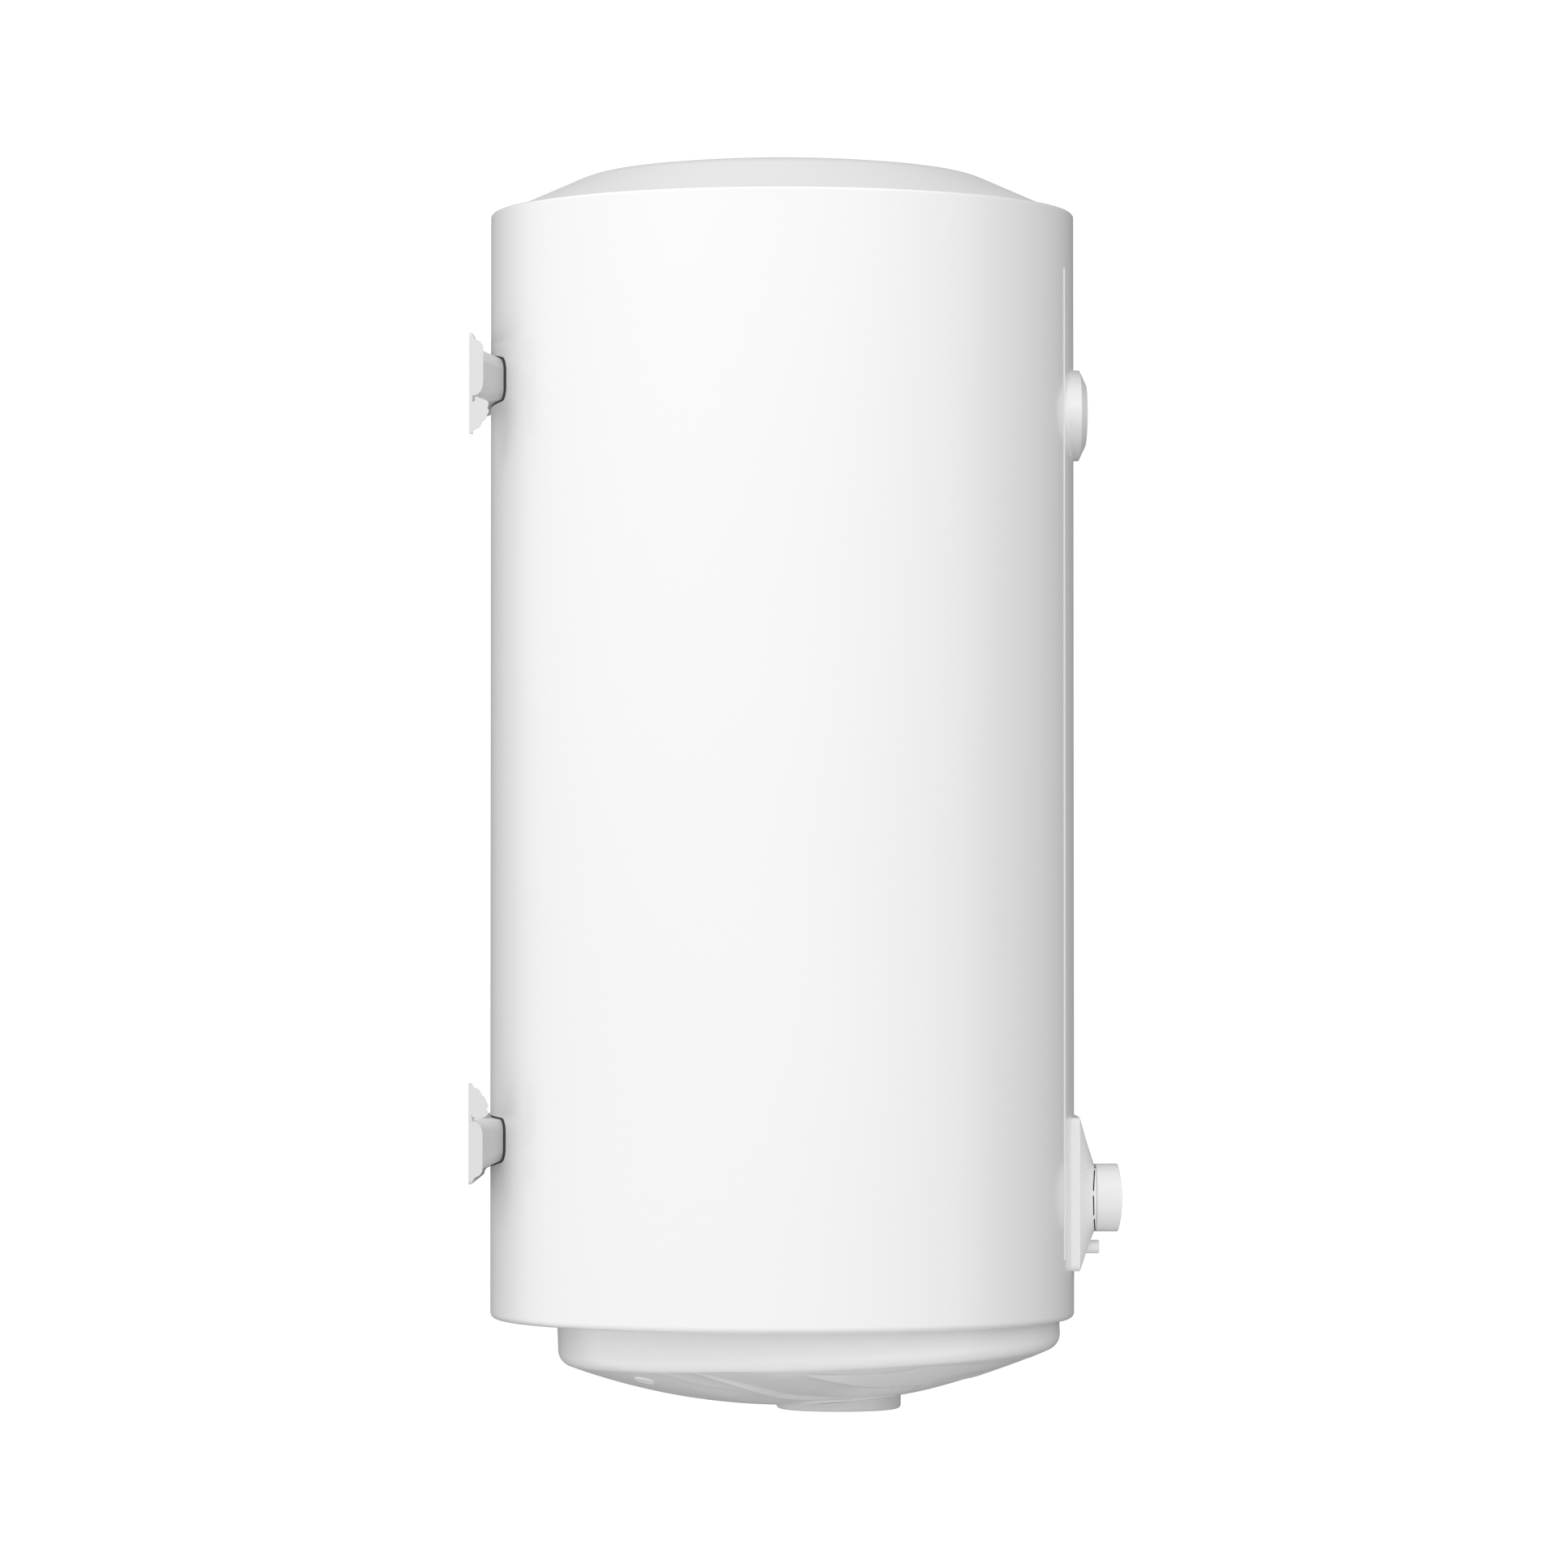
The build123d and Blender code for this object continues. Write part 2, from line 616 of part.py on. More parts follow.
def control_panel():
    """Moulded control panel with the slotted collar around the knob."""
    panel = panel_form(0.0) - panel_form(PANEL_T)
    collar = along_y(KNOB_R, PANEL_TOP_Y + PANEL_T, COLLAR_RING_Y, 0, KNOB_Z)
    panel = panel + collar - along_y(KNOB_R - 2.6, -200, -250, 0, KNOB_Z)
    for quarter in (0, 90, 180, 270):
        for angle, length in ((quarter + SHORT_SLOT_ANGLE, 15.8), (quarter + LONG_SLOT_ANGLE, 20.7)):
            lean = SADDLE * math.sin(math.radians(2 * angle)) / KNOB_R
            slot = Rot(-math.degrees(math.atan(lean)), 0, 0) * Box(10, 1.0, length)
            height = COLLAR_RING_Y + 0.6 + SADDLE * math.cos(math.radians(angle)) ** 2
            panel = panel - Pos(0, height, KNOB_Z) * Rot(0, angle, 0) * Pos(KNOB_R, 0, 0) * slot
    panel = panel - along_y(BUTTON_R + GAP, -200, -250, 0, BUTTON_Z)
    return panel - upright(CASING_R, 0, 200)


def knob_seat():
    """Dark sleeve inside the collar, which closes its slots."""
    return along_y(KNOB_R - 2.7, -241.4, -230, 0, KNOB_Z) - along_y(KNOB_R - 5, -245, -225, 0, KNOB_Z)


def knob_front(depth):
    """Everything behind the knob's front face, which is arched up and down, less a depth."""
    rise = KNOB_EDGE_Y - KNOB_FRONT_Y
    arch_r = (KNOB_R ** 2 + rise ** 2) / (2 * rise)
    barrel = Rot(0, 90, 0) * Cylinder(arch_r - depth, 80)
    return Pos(0, KNOB_FRONT_Y + arch_r, KNOB_Z) * barrel


def control_knob():
    """Round knob with an arched front and a boss for the spindle."""
    knob = along_y(KNOB_R, KNOB_BACK_Y, KNOB_FRONT_Y - 1, 0, KNOB_Z) & knob_front(0.0)
    knob = fillet(knob.edges().sort_by(Axis.Y)[0], 0.8)
    hollow = along_y(KNOB_R - 2.4, KNOB_BACK_Y + 1, KNOB_EDGE_Y + 2, 0, KNOB_Z)
    boss = along_y(6, KNOB_BACK_Y, KNOB_EDGE_Y + 1, 0, KNOB_Z)
    knob = knob - hollow + boss - along_y(3, KNOB_BACK_Y + 1, -255, 0, KNOB_Z)
    return knob - knob_pointer()


def knob_pointer():
    """Coloured pointer line let into the knob's front."""
    line = front_plate(RectangleRounded(2.4, 14, 1.1), -250, -270, KNOB_Z + 15)
    return (line & knob_front(-0.01)) - knob_front(0.6)


def knob_spindle():
    """Thermostat spindle pressed in the knob."""
    return along_y(3, -255, -196, 0, KNOB_Z)


def thermostat_body():
    """Capillary thermostat behind the control panel."""
    body = block(-22, 22, -204, -172, KNOB_Z - 21, KNOB_Z + 21)
    nose = along_y(8, -212, -203, 0, KNOB_Z)
    return body + nose - along_y(3.05, -220, -195.9, 0, KNOB_Z)


def thermostat_capillary():
    """Fine copper tube from the thermostat to its bulb."""
    x, y = WELL_PLACE
    route = [
        (10, -172, KNOB_Z - 8),
        (10, -150, KNOB_Z - 8),
        (30, -112, 30),
        (34, -60, 20),
        (30, -10, 14),
        (x, y, 14),
        (x, y, 60),
    ]
    return tube_along(route, 8, 1.0)


def thermostat_bulb():
    """Sensing bulb inside the thermowell."""
    return upright(3, 60, 180, *WELL_PLACE)


def power_switch():
    """Push switch behind the panel."""
    return block(-9, 9, -214, -192, BUTTON_Z - 10, BUTTON_Z + 10)


def power_button():
    """Push button cap with its flanged stem."""
    cap = along_y(BUTTON_R, -229, BUTTON_END_Y, 0, BUTTON_Z)
    cap = fillet(cap.edges().sort_by(Axis.Y)[0], 1.2)
    return cap + along_y(2.4, -217, -230, 0, BUTTON_Z)


# ---- temperature gauge -----------------------------------------------------
def gauge_form(inset):
    """The gauge's outer form: an oval wall, then a bevel to the window."""
    wall = front_plate(Ellipse(GAUGE_A - inset, GAUGE_B - inset), -205, GAUGE_SIDE_Y + inset, GAUGE_Z)
    base = front_plane(GAUGE_SIDE_Y + inset, GAUGE_Z) * Ellipse(GAUGE_A - inset, GAUGE_B - inset)
    edge = Ellipse(WINDOW_A + 0.7 - inset / 2, WINDOW_B + 0.7 - inset / 2)
    return wall + loft([base, front_plane(GAUGE_FRONT_Y + inset, GAUGE_Z) * edge])


def gauge_bezel():
    """Oval bezel that sits on the curved front of the casing."""
    bezel = gauge_form(0.0) - gauge_form(2.0)
    bezel = bezel - front_plate(Ellipse(WINDOW_A - 1.2, WINDOW_B - 1.2), -215, -240, GAUGE_Z)
    rebate = front_plate(Ellipse(WINDOW_A + 0.02, WINDOW_B + 0.02), GAUGE_FRONT_Y + 1.0, -240, GAUGE_Z)
    return bezel - rebate - upright(CASING_R, 0, CASING_H)


def gauge_dial():
    """Oval dial plate behind the window."""
    plate = front_plate(Ellipse(GAUGE_A - 9, GAUGE_B - 6), -226, -227, GAUGE_Z)
    return plate - along_y(1.6, -220, -230, 0, GAUGE_Z - NEEDLE_PIVOT_DROP)


def gauge_window():
    """Clear window of the gauge."""
    return front_plate(Ellipse(WINDOW_A, WINDOW_B), GAUGE_FRONT_Y + 1.0, GAUGE_FRONT_Y - 0.6, GAUGE_Z)


def gauge_needle():
    """Needle with its hub and arbor."""
    z = GAUGE_Z - NEEDLE_PIVOT_DROP
    hub = along_y(3.5, -228, -231, 0, z)
    arbor = along_y(1.5, -222, -229, 0, z)
    blade_lines = Polyline([(-1.2, -6), (1.2, -6), (0.35, 29), (-0.35, 29)], close=True)
    blade = front_plate(make_face(blade_lines), -229.2, -230, z)
    return hub + arbor + blade


def gauge_stem():
    """Bimetal housing that reaches from the gauge to the tank wall."""
    z = GAUGE_Z - NEEDLE_PIVOT_DROP
    cup = along_y(5.5, -224.0, -TANK_R - 0.5, 0, z)
    return cup - along_y(1.56, -226, -221.5, 0, z)


# ---- wiring ----------------------------------------------------------------
BLOCK_X = -140.0
BLOCK_Y = 15.0


def terminal_block():
    """Three-way mains terminal block under the bottom lid."""
    body = block(BLOCK_X - 11, BLOCK_X + 11, BLOCK_Y - 24, BLOCK_Y + 24, BASE_Z - 15, BASE_Z)
    for i in range(3):
        y = BLOCK_Y + 15 * (i - 1)
        body = body - upright(2.4, BASE_Z - 16, BASE_Z - 8, BLOCK_X + 5, y)
    return body


def terminal_screws():
    """Clamping screws of the terminal block."""
    screws = []
    for i in range(3):
        y = BLOCK_Y + 15 * (i - 1)
        screws.append(upright(2.3, BASE_Z - 14, BASE_Z - 8, BLOCK_X + 5, y))
    return group(screws)


def earth_screw():
    """Earth connection on the heater flange."""
    top = COLLAR_Z - GASKET_T - FLANGE_T
    return upright(2.5, top - 10, top, -52, -20) + upright(4.5, top - 3.5, top, -52, -20)


def element_leads():
    """The two leads from the terminal block to the element."""
    leads = []
    for x, y_block in ((-ELEMENT_X, 15.0), (ELEMENT_X, 0.0)):
        start_y = BLOCK_Y + y_block
        drop = -5.0 if x > 0 else 2.0
        route = [
            (BLOCK_X + 11, start_y, BASE_Z - 11),
            (BLOCK_X + 32, start_y, BASE_Z - 14),
            (x - 30, ELEMENT_Y - 14, drop),
            (x, ELEMENT_Y, 4),
            (x, ELEMENT_Y, 17),
        ]
        leads.append(tube_along(route, 5, 1.6))
    return group(leads)


NODES = {
    "outer_casing": outer_casing,
    "top_lid": top_lid,
    "bottom_lid": bottom_lid,
    "bottom_cover": bottom_cover,
    "bottom_cover_plug": bottom_cover_plug,
    "cover_screw": cover_screw,
    "cable_grommet": cable_grommet,
    "upper_wall_bracket": upper_wall_bracket,
    "lower_wall_bracket": lower_wall_bracket,
    "upper_bracket_seal": upper_bracket_seal,
    "lower_bracket_seal": lower_bracket_seal,
    "tank_shell": tank_shell,
    "tank_top_dome": lambda: tank_dome(True),
    "tank_bottom_dome": lambda: tank_dome(False),
    "foam_insulation": foam_insulation,
    "cold_inlet_pipe": lambda: water_pipe(PIPE_X),
    "hot_outlet_pipe": lambda: water_pipe(-PIPE_X),
    "cold_marker_ring": lambda: marker_ring(PIPE_X),
    "hot_marker_ring": lambda: marker_ring(-PIPE_X),
    "inlet_diffuser": inlet_diffuser,
    "outlet_dip_tube": outlet_dip_tube,
    "flange_collar": flange_collar,
    "flange_gasket": flange_gasket,
    "heater_flange": heater_flange,
    "flange_studs": flange_studs,
    "flange_nuts": flange_nuts,
    "heating_element": heating_element,
    "element_terminals": element_terminals,
    "thermowell": thermowell,
    "anode_rod": anode_rod,
    "anode_stud": anode_stud,
    "safety_cutout": safety_cutout,
    "cutout_reset_button": cutout_reset_button,
    "control_panel": control_panel,
    "knob_seat": knob_seat,
    "control_knob": control_knob,
    "knob_pointer": knob_pointer,
    "knob_spindle": knob_spindle,
    "thermostat_body": thermostat_body,
    "thermostat_capillary": thermostat_capillary,
    "thermostat_bulb": thermostat_bulb,
    "power_switch": power_switch,
    "power_button": power_button,
    "gauge_bezel": gauge_bezel,
    "gauge_dial": gauge_dial,
    "gauge_window": gauge_window,
    "gauge_needle": gauge_needle,
    "gauge_stem": gauge_stem,
    "terminal_block": terminal_block,
    "terminal_screws": terminal_screws,
    "earth_screw": earth_screw,
    "element_leads": element_leads,
}


def main():
    """Make every piece, move it to the wall pattern's frame and write it."""
    os.makedirs("parts", exist_ok=True)
    to_wall_frame = Pos(0, -WALL_Y, -BRACKET_MID_Z)
    for name, make in NODES.items():
        piece = to_wall_frame * make()
        export_step(piece, f"parts/{name}.step")
        print(name, len(piece.solids()), round(piece.volume / 1000, 2))


main()
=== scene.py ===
"""Wall-hung electric tank water heater: its visible pieces and their finishes."""

import logging
import math
from dataclasses import dataclass
from enum import Enum
from typing import Callable, Iterable, Sequence

import bmesh
import bpy
import numpy as np
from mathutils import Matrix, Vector


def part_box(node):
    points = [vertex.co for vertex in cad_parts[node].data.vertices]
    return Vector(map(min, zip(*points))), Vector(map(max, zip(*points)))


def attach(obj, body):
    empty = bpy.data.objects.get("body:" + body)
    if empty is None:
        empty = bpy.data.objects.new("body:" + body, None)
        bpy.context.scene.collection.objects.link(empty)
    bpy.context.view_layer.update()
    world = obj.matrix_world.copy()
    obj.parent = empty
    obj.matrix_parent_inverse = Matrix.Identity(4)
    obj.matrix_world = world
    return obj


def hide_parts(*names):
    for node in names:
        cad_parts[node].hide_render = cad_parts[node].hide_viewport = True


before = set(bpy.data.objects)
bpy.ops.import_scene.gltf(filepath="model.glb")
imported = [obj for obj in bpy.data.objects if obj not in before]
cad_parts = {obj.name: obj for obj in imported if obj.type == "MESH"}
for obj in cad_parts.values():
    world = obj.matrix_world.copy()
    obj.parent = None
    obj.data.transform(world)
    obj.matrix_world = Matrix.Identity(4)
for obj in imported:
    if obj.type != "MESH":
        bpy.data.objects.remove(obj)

log = logging.getLogger("water_heater")
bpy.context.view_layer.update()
MM = 0.001

Colour = tuple[float, float, float]
Point = tuple[float, float, float]


# ---- shader maths ----------------------------------------------------------
class Value:
    """A shader socket that takes part in Python arithmetic."""

    def __init__(self, tree: "Tree", socket: bpy.types.NodeSocket) -> None:
        """Wraps one output socket of a tree."""
        self.tree = tree
        self.socket = socket

    def _math(self, operation: str, first: object, second: object) -> "Value":
        """Adds one Math node."""
        return self.tree.node("ShaderNodeMath", {"operation": operation}, {0: first, 1: second})

    def __add__(self, other: object) -> "Value":
        """Sum."""
        return self._math("ADD", self, other)

    def __radd__(self, other: object) -> "Value":
        """Sum, reflected."""
        return self._math("ADD", other, self)

    def __sub__(self, other: object) -> "Value":
        """Difference."""
        return self._math("SUBTRACT", self, other)

    def __rsub__(self, other: object) -> "Value":
        """Difference, reflected, so that 1 - mask works."""
        return self._math("SUBTRACT", other, self)

    def __mul__(self, other: object) -> "Value":
        """Product."""
        return self._math("MULTIPLY", self, other)

    def __rmul__(self, other: object) -> "Value":
        """Product, reflected."""
        return self._math("MULTIPLY", other, self)


class Tree:
    """The node tree of one material or of the studio's world."""

    def __init__(self, owner: bpy.types.ID) -> None:
        """Takes a new material or world.

        Args:
            owner: The material, which then has its Principled shader, or the world.
        """
        owner.use_nodes = True
        self.nodes = owner.node_tree.nodes
        self.links = owner.node_tree.links
        self.shader = self.nodes.get("Principled BSDF")

    def node(self, kind: str, settings: dict, sockets: dict, output: object = 0) -> Value:
        """Adds any node.

        Args:
            kind: The node's type.
            settings: Its settings, set before its sockets. "stops" are a ramp's two stops.
            sockets: Values or links by input name or index.
            output: The output that is wanted, or None where the node has none.

        Returns:
            The wanted output.
        """
        made = self.nodes.new(kind)
        for key, value in settings.items():
            if key == "stops":
                self._ramp(made, value)
            else:
                setattr(made, key, value)
        for key, value in sockets.items():
            if isinstance(value, Value):
                self.links.new(value.socket, made.inputs[key])
            else:
                made.inputs[key].default_value = value
        return Value(self, made.outputs[output] if output is not None else None)

    @staticmethod
    def _ramp(made: bpy.types.Node, stops: Sequence[tuple[float, float]]) -> None:
        """Sets a new colour ramp's two stops, each a place and a grey."""
        for element, (place, grey) in zip(made.color_ramp.elements, stops):
            element.position = place
            element.color = (grey, grey, grey, 1.0)

    def coordinates(self) -> Value:
        """Where the surface is, in metres, fixed to the piece."""
        return self.node("ShaderNodeTexCoord", {}, {}, "Object")

    def noise(self, scale: float, detail: float = 2.0, where: Value | None = None) -> Value:
        """Grey noise with about scale blobs to the metre."""
        sockets = {"Scale": scale, "Detail": detail, "Vector": where or self.coordinates()}
        return self.node("ShaderNodeTexNoise", {}, sockets)

    def stretched(self, factors: Point) -> Value:
        """The coordinates, scaled differently along each axis."""
        sockets = {0: self.coordinates(), 1: factors}
        return self.node("ShaderNodeVectorMath", {"operation": "MULTIPLY"}, sockets)

    def mixed(self, factor: Value, first: Colour, second: Colour) -> Value:
        """One colour over another."""
        sockets = {0: factor, 6: (*first, 1.0), 7: (*second, 1.0)}
        return self.node("ShaderNodeMix", {"data_type": "RGBA"}, sockets, 2)

    def feed(self, **sockets: object) -> None:
        """Sets or links the shader's own inputs, named with _ for a space."""
        for key, value in sockets.items():
            target = self.shader.inputs[key.replace("_", " ")]
            if isinstance(value, Value):
                self.links.new(value.socket, target)
            else:
                target.default_value = value

    def bump(self, height: Value, depth: float) -> None:
        """Feeds a bump of the given depth in metres to the shader's normal."""
        sockets = {"Strength": 1.0, "Distance": depth, "Height": height}
        self.feed(Normal=self.node("ShaderNodeBump", {}, sockets, "Normal"))


# ---- finishes --------------------------------------------------------------
@dataclass(frozen=True)
class Finish:
    """A finish that any piece can take."""

    name: str
    colour: Colour
    roughness: float = 0.35

    def paint(self, tree: Tree) -> None:
        """Lays the finish on a tree."""
        tree.feed(Base_Color=(*self.colour, 1.0), Roughness=self.roughness)

    def material(self) -> bpy.types.Material:
        """The finish's material, made once.

        Returns:
            The material.
        """
        made = bpy.data.materials.get(self.name)
        if made is None:
            made = bpy.data.materials.new(self.name)
            self.paint(Tree(made))
        return made


@dataclass(frozen=True)
class Enamel(Finish):
    """Sprayed and stoved enamel on steel: even, with a very fine orange peel."""

    peel_per_m: float = 420.0
    peel_depth: float = 0.00004
    drift_per_m: float = 3.0
    shade: float = 0.975
    speck_per_m: float = 900.0
    gloss_spread: float = 0.10
    coat: float = 0.5
    coat_roughness: float = 0.15

    def paint(self, tree: Tree) -> None:
        """Lays the enamel on a tree."""
        drift = tree.noise(self.drift_per_m, 1.0)
        darker = tuple(channel * self.shade for channel in self.colour)
        tree.feed(Base_Color=tree.mixed(drift, self.colour, darker))
        specks = tree.noise(self.speck_per_m, 3.0)
        tree.feed(Roughness=self.roughness + self.gloss_spread * specks - self.gloss_spread / 2)
        tree.feed(Coat_Weight=self.coat, Coat_Roughness=self.coat_roughness)
        tree.bump(tree.noise(self.peel_per_m), self.peel_depth)


@dataclass(frozen=True)
class Moulded(Finish):
    """Injection-moulded plastic with a fine spark grain."""

    grain_per_m: float = 1600.0
    grain_depth: float = 0.00003
    gloss_spread: float = 0.12
    flow_per_m: float = 7.0
    flow_shade: float = 0.97

    def paint(self, tree: Tree) -> None:
        """Lays the moulded finish on a tree."""
        flow = tree.noise(self.flow_per_m)
        darker = tuple(channel * self.flow_shade for channel in self.colour)
        tree.feed(Base_Color=tree.mixed(flow, self.colour, darker))
        grain = tree.noise(self.grain_per_m)
        tree.feed(Roughness=self.roughness + self.gloss_spread * grain - self.gloss_spread / 2)
        tree.bump(grain, self.grain_depth)


@dataclass(frozen=True)
class Metal(Finish):
    """Bare metal: plated, drawn or pickled."""

    streak_per_m: float = 300.0
    streak: Point = (1.0, 1.0, 0.06)
    streak_depth: float = 0.00004
    gloss_spread: float = 0.16
    stain_per_m: float = 45.0
    stain_stops: tuple[tuple[float, float], ...] = ((0.45, 0.0), (0.75, 1.0))
    tarnish: Colour = (0.35, 0.35, 0.35)
    tarnish_share: float = 0.35

    def paint(self, tree: Tree) -> None:
        """Lays the bare metal on a tree."""
        stains = tree.node("ShaderNodeValToRGB", {"stops": self.stain_stops},
                           {0: tree.noise(self.stain_per_m, 4.0)})
        tree.feed(Base_Color=tree.mixed(self.tarnish_share * stains, self.colour, self.tarnish))
        streaks = tree.noise(self.streak_per_m, 3.0, tree.stretched(self.streak))
        tree.feed(Roughness=self.roughness + self.gloss_spread * streaks - self.gloss_spread / 2,
                  Metallic=1.0)
        tree.bump(streaks, self.streak_depth)


@dataclass(frozen=True)
class Rubber(Finish):
    """Rubber or closed-cell foam: dull, with pores."""

    pore_per_m: float = 900.0
    pore_depth: float = 0.00015
    gloss_spread: float = 0.15
    dust: float = 1.5
    dust_floor: float = 0.01

    def paint(self, tree: Tree) -> None:
        """Lays the rubber on a tree."""
        pores = tree.noise(self.pore_per_m, 4.0)
        lighter = tuple(min(channel * self.dust + self.dust_floor, 1.0) for channel in self.colour)
        tree.feed(Base_Color=tree.mixed(pores, self.colour, lighter))
        tree.feed(Roughness=self.roughness + self.gloss_spread * pores)
        tree.bump(pores, self.pore_depth)


@dataclass(frozen=True)
class Clear(Finish):
    """Clear moulded window with a slight tint and hair scratches."""

    scratch_per_m: float = 260.0
    scratch: Point = (1.0, 1.0, 9.0)
    gloss_spread: float = 0.03
    clearness: float = 0.9
    index: float = 1.49
    opacity: float = 0.18

    def paint(self, tree: Tree) -> None:
        """Lays the clear plastic on a tree."""
        scratches = tree.noise(self.scratch_per_m, 5.0, tree.stretched(self.scratch))
        tree.feed(Base_Color=(*self.colour, 1.0),
                  Roughness=self.roughness + self.gloss_spread * scratches)
        tree.feed(Transmission_Weight=self.clearness, IOR=self.index, Alpha=self.opacity)


class Finishes(Enum):
    """Every finish of the heater."""

    CASING = Enamel("casing_enamel", (0.865, 0.865, 0.865), 0.34)
    # The brackets' white enamel, greyed below the casing's: painted shade for the brackets between
    # casing and wall.
    BRACKET = Enamel("bracket_enamel", (0.70, 0.70, 0.70), 0.36, peel_per_m=700.0)
    LID = Moulded("lid_plastic", (0.855, 0.855, 0.855), 0.36)
    COVER = Moulded("cover_plastic", (0.93, 0.93, 0.93), 0.20, grain_depth=0.00001)
    TRIM = Moulded("trim_plastic", (0.885, 0.885, 0.885), 0.28, grain_depth=0.00001)
    # Near-black bracket seal: partly the foam's own colour, partly painted shade for the dark gap
    # round the brackets.
    SEAL = Rubber("seal_foam", (0.035, 0.035, 0.04), 0.75)
    FOAM = Rubber("yellow_foam", (0.72, 0.60, 0.30), 0.8, pore_per_m=350.0, pore_depth=0.0006)
    GASKET = Rubber("gasket_rubber", (0.03, 0.03, 0.03), 0.6)
    LEAD = Rubber("lead_sleeve", (0.02, 0.07, 0.30), 0.35, pore_depth=0.00003)
    TANK = Metal("tank_steel", (0.42, 0.43, 0.45), 0.42)
    PIPE = Metal("pipe_plating", (0.78, 0.78, 0.77), 0.24, tarnish=(0.5, 0.48, 0.45))
    STEEL = Metal("bright_steel", (0.62, 0.62, 0.61), 0.3)
    COPPER = Metal("copper", (0.80, 0.43, 0.28), 0.28, tarnish=(0.35, 0.16, 0.10))
    BRASS = Metal("brass", (0.80, 0.62, 0.30), 0.28, tarnish=(0.45, 0.32, 0.15))
    MAGNESIUM = Metal("magnesium", (0.52, 0.53, 0.54), 0.55)
    CERAMIC = Moulded("bead_ceramic", (0.80, 0.77, 0.70), 0.4)
    BLACK = Moulded("black_plastic", (0.018, 0.018, 0.020), 0.42)
    POINTER = Moulded("pointer_plastic", (0.10, 0.12, 0.15), 0.4)
    RED = Moulded("red_plastic", (0.55, 0.03, 0.02), 0.35)
    # The plug's grey is darker than the cover's white: painted shade for the plug sitting under
    # the bowl.
    PLUG = Moulded("plug_plastic", (0.64, 0.64, 0.64), 0.4)
    MEMBRANE = Moulded("membrane_plastic", (0.88, 0.88, 0.88), 0.4, grain_depth=0.00001)
    BLUE = Moulded("blue_plastic", (0.02, 0.08, 0.45), 0.35)
    DIAL = Moulded("dial_print", (0.86, 0.86, 0.84), 0.5)
    WINDOW = Clear("window_clear", (0.93, 0.95, 0.97), 0.02)


CAD_FINISHES: dict[Finishes, tuple[str, ...]] = {
    Finishes.CASING: ("outer_casing",),
    # The brackets take the greyed copy of the white enamel, which paints in their shade.
    Finishes.BRACKET: ("upper_wall_bracket", "lower_wall_bracket"),
    Finishes.LID: ("top_lid", "bottom_lid", "cable_grommet", "bottom_cover"),
    # The plug takes a greyed plastic that paints in the shade under the bowl.
    Finishes.PLUG: ("bottom_cover_plug",),
    Finishes.TRIM: ("control_panel", "control_knob", "power_button", "gauge_bezel",
                    "inlet_diffuser"),
    # The seals' near-black is partly their own colour and partly painted shade for the gap round
    # the brackets.
    Finishes.SEAL: ("upper_bracket_seal", "lower_bracket_seal"),
    Finishes.FOAM: ("foam_insulation",),
    Finishes.GASKET: ("flange_gasket",),
    Finishes.LEAD: ("element_leads",),
    Finishes.TANK: ("tank_shell", "tank_top_dome", "tank_bottom_dome", "flange_collar"),
    Finishes.PIPE: ("cold_inlet_pipe", "hot_outlet_pipe"),
    Finishes.STEEL: ("cover_screw", "flange_studs", "flange_nuts", "heater_flange", "thermowell",
                     "anode_stud", "knob_spindle", "gauge_stem", "outlet_dip_tube"),
    Finishes.COPPER: ("heating_element", "thermostat_capillary", "thermostat_bulb"),
    Finishes.BRASS: ("terminal_screws", "earth_screw"),
    Finishes.MAGNESIUM: ("anode_rod",),
    Finishes.CERAMIC: ("element_terminals", "terminal_block"),
    # The knob seat's black also stands in for the shade seen through the knob's slots.
    Finishes.BLACK: ("safety_cutout", "knob_seat", "thermostat_body", "power_switch"),
    Finishes.POINTER: ("knob_pointer",),
    Finishes.RED: ("cutout_reset_button", "gauge_needle", "hot_marker_ring"),
    Finishes.BLUE: ("cold_marker_ring",),
    Finishes.DIAL: ("gauge_dial",),
    Finishes.WINDOW: ("gauge_window",),
}


# ---- mesh helpers ----------------------------------------------------------
def clad(piece: bpy.types.Object, finish: Finishes) -> None:
    """Gives every face of a piece one finish."""
    piece.data.materials.clear()
    piece.data.materials.append(finish.value.material())


def add_piece(name: str, mesh: bmesh.types.BMesh, finish: Finishes, body: str,
              slot: str, *nodes: str) -> bpy.types.Object:
    """Makes a shown piece from a mesh under construction.

    Args:
        name: The piece's name.
        mesh: Its mesh, in metres, freed here.
        finish: What it is finished in.
        body: The CAD body that it rides on.
        slot: The record's material slot; not used.
        nodes: The CAD nodes that it stands for.

    Returns:
        The piece.
    """
    bmesh.ops.recalc_face_normals(mesh, faces=mesh.faces)
    data = bpy.data.meshes.new(name)
    mesh.to_mesh(data)
    mesh.free()
    data.shade_smooth()
    piece = bpy.data.objects.new(name, data)
    bpy.context.scene.collection.objects.link(piece)
    data.materials.append(finish.value.material())
    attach(piece, body)
    if nodes:
        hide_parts(*nodes)
    return piece


def sharpen(piece: bpy.types.Object, degrees: float) -> None:
    """Keeps edges sharper than an angle crisp in a smooth piece."""
    piece.data.set_sharp_from_angle(angle=math.radians(degrees))


def grid_faces(mesh: bmesh.types.BMesh, rows: Sequence[Sequence[bmesh.types.BMVert]],
               closed: bool) -> None:
    """Joins rows of points to quads, each row round on itself where closed."""
    for low, high in zip(rows, rows[1:]):
        count = len(low)
        for i in range(count if closed else count - 1):
            j = (i + 1) % count
            corners = [low[i], low[j], high[j], high[i]]
            unique = list(dict.fromkeys(corners))
            if len(unique) > 2:
                mesh.faces.new(unique)


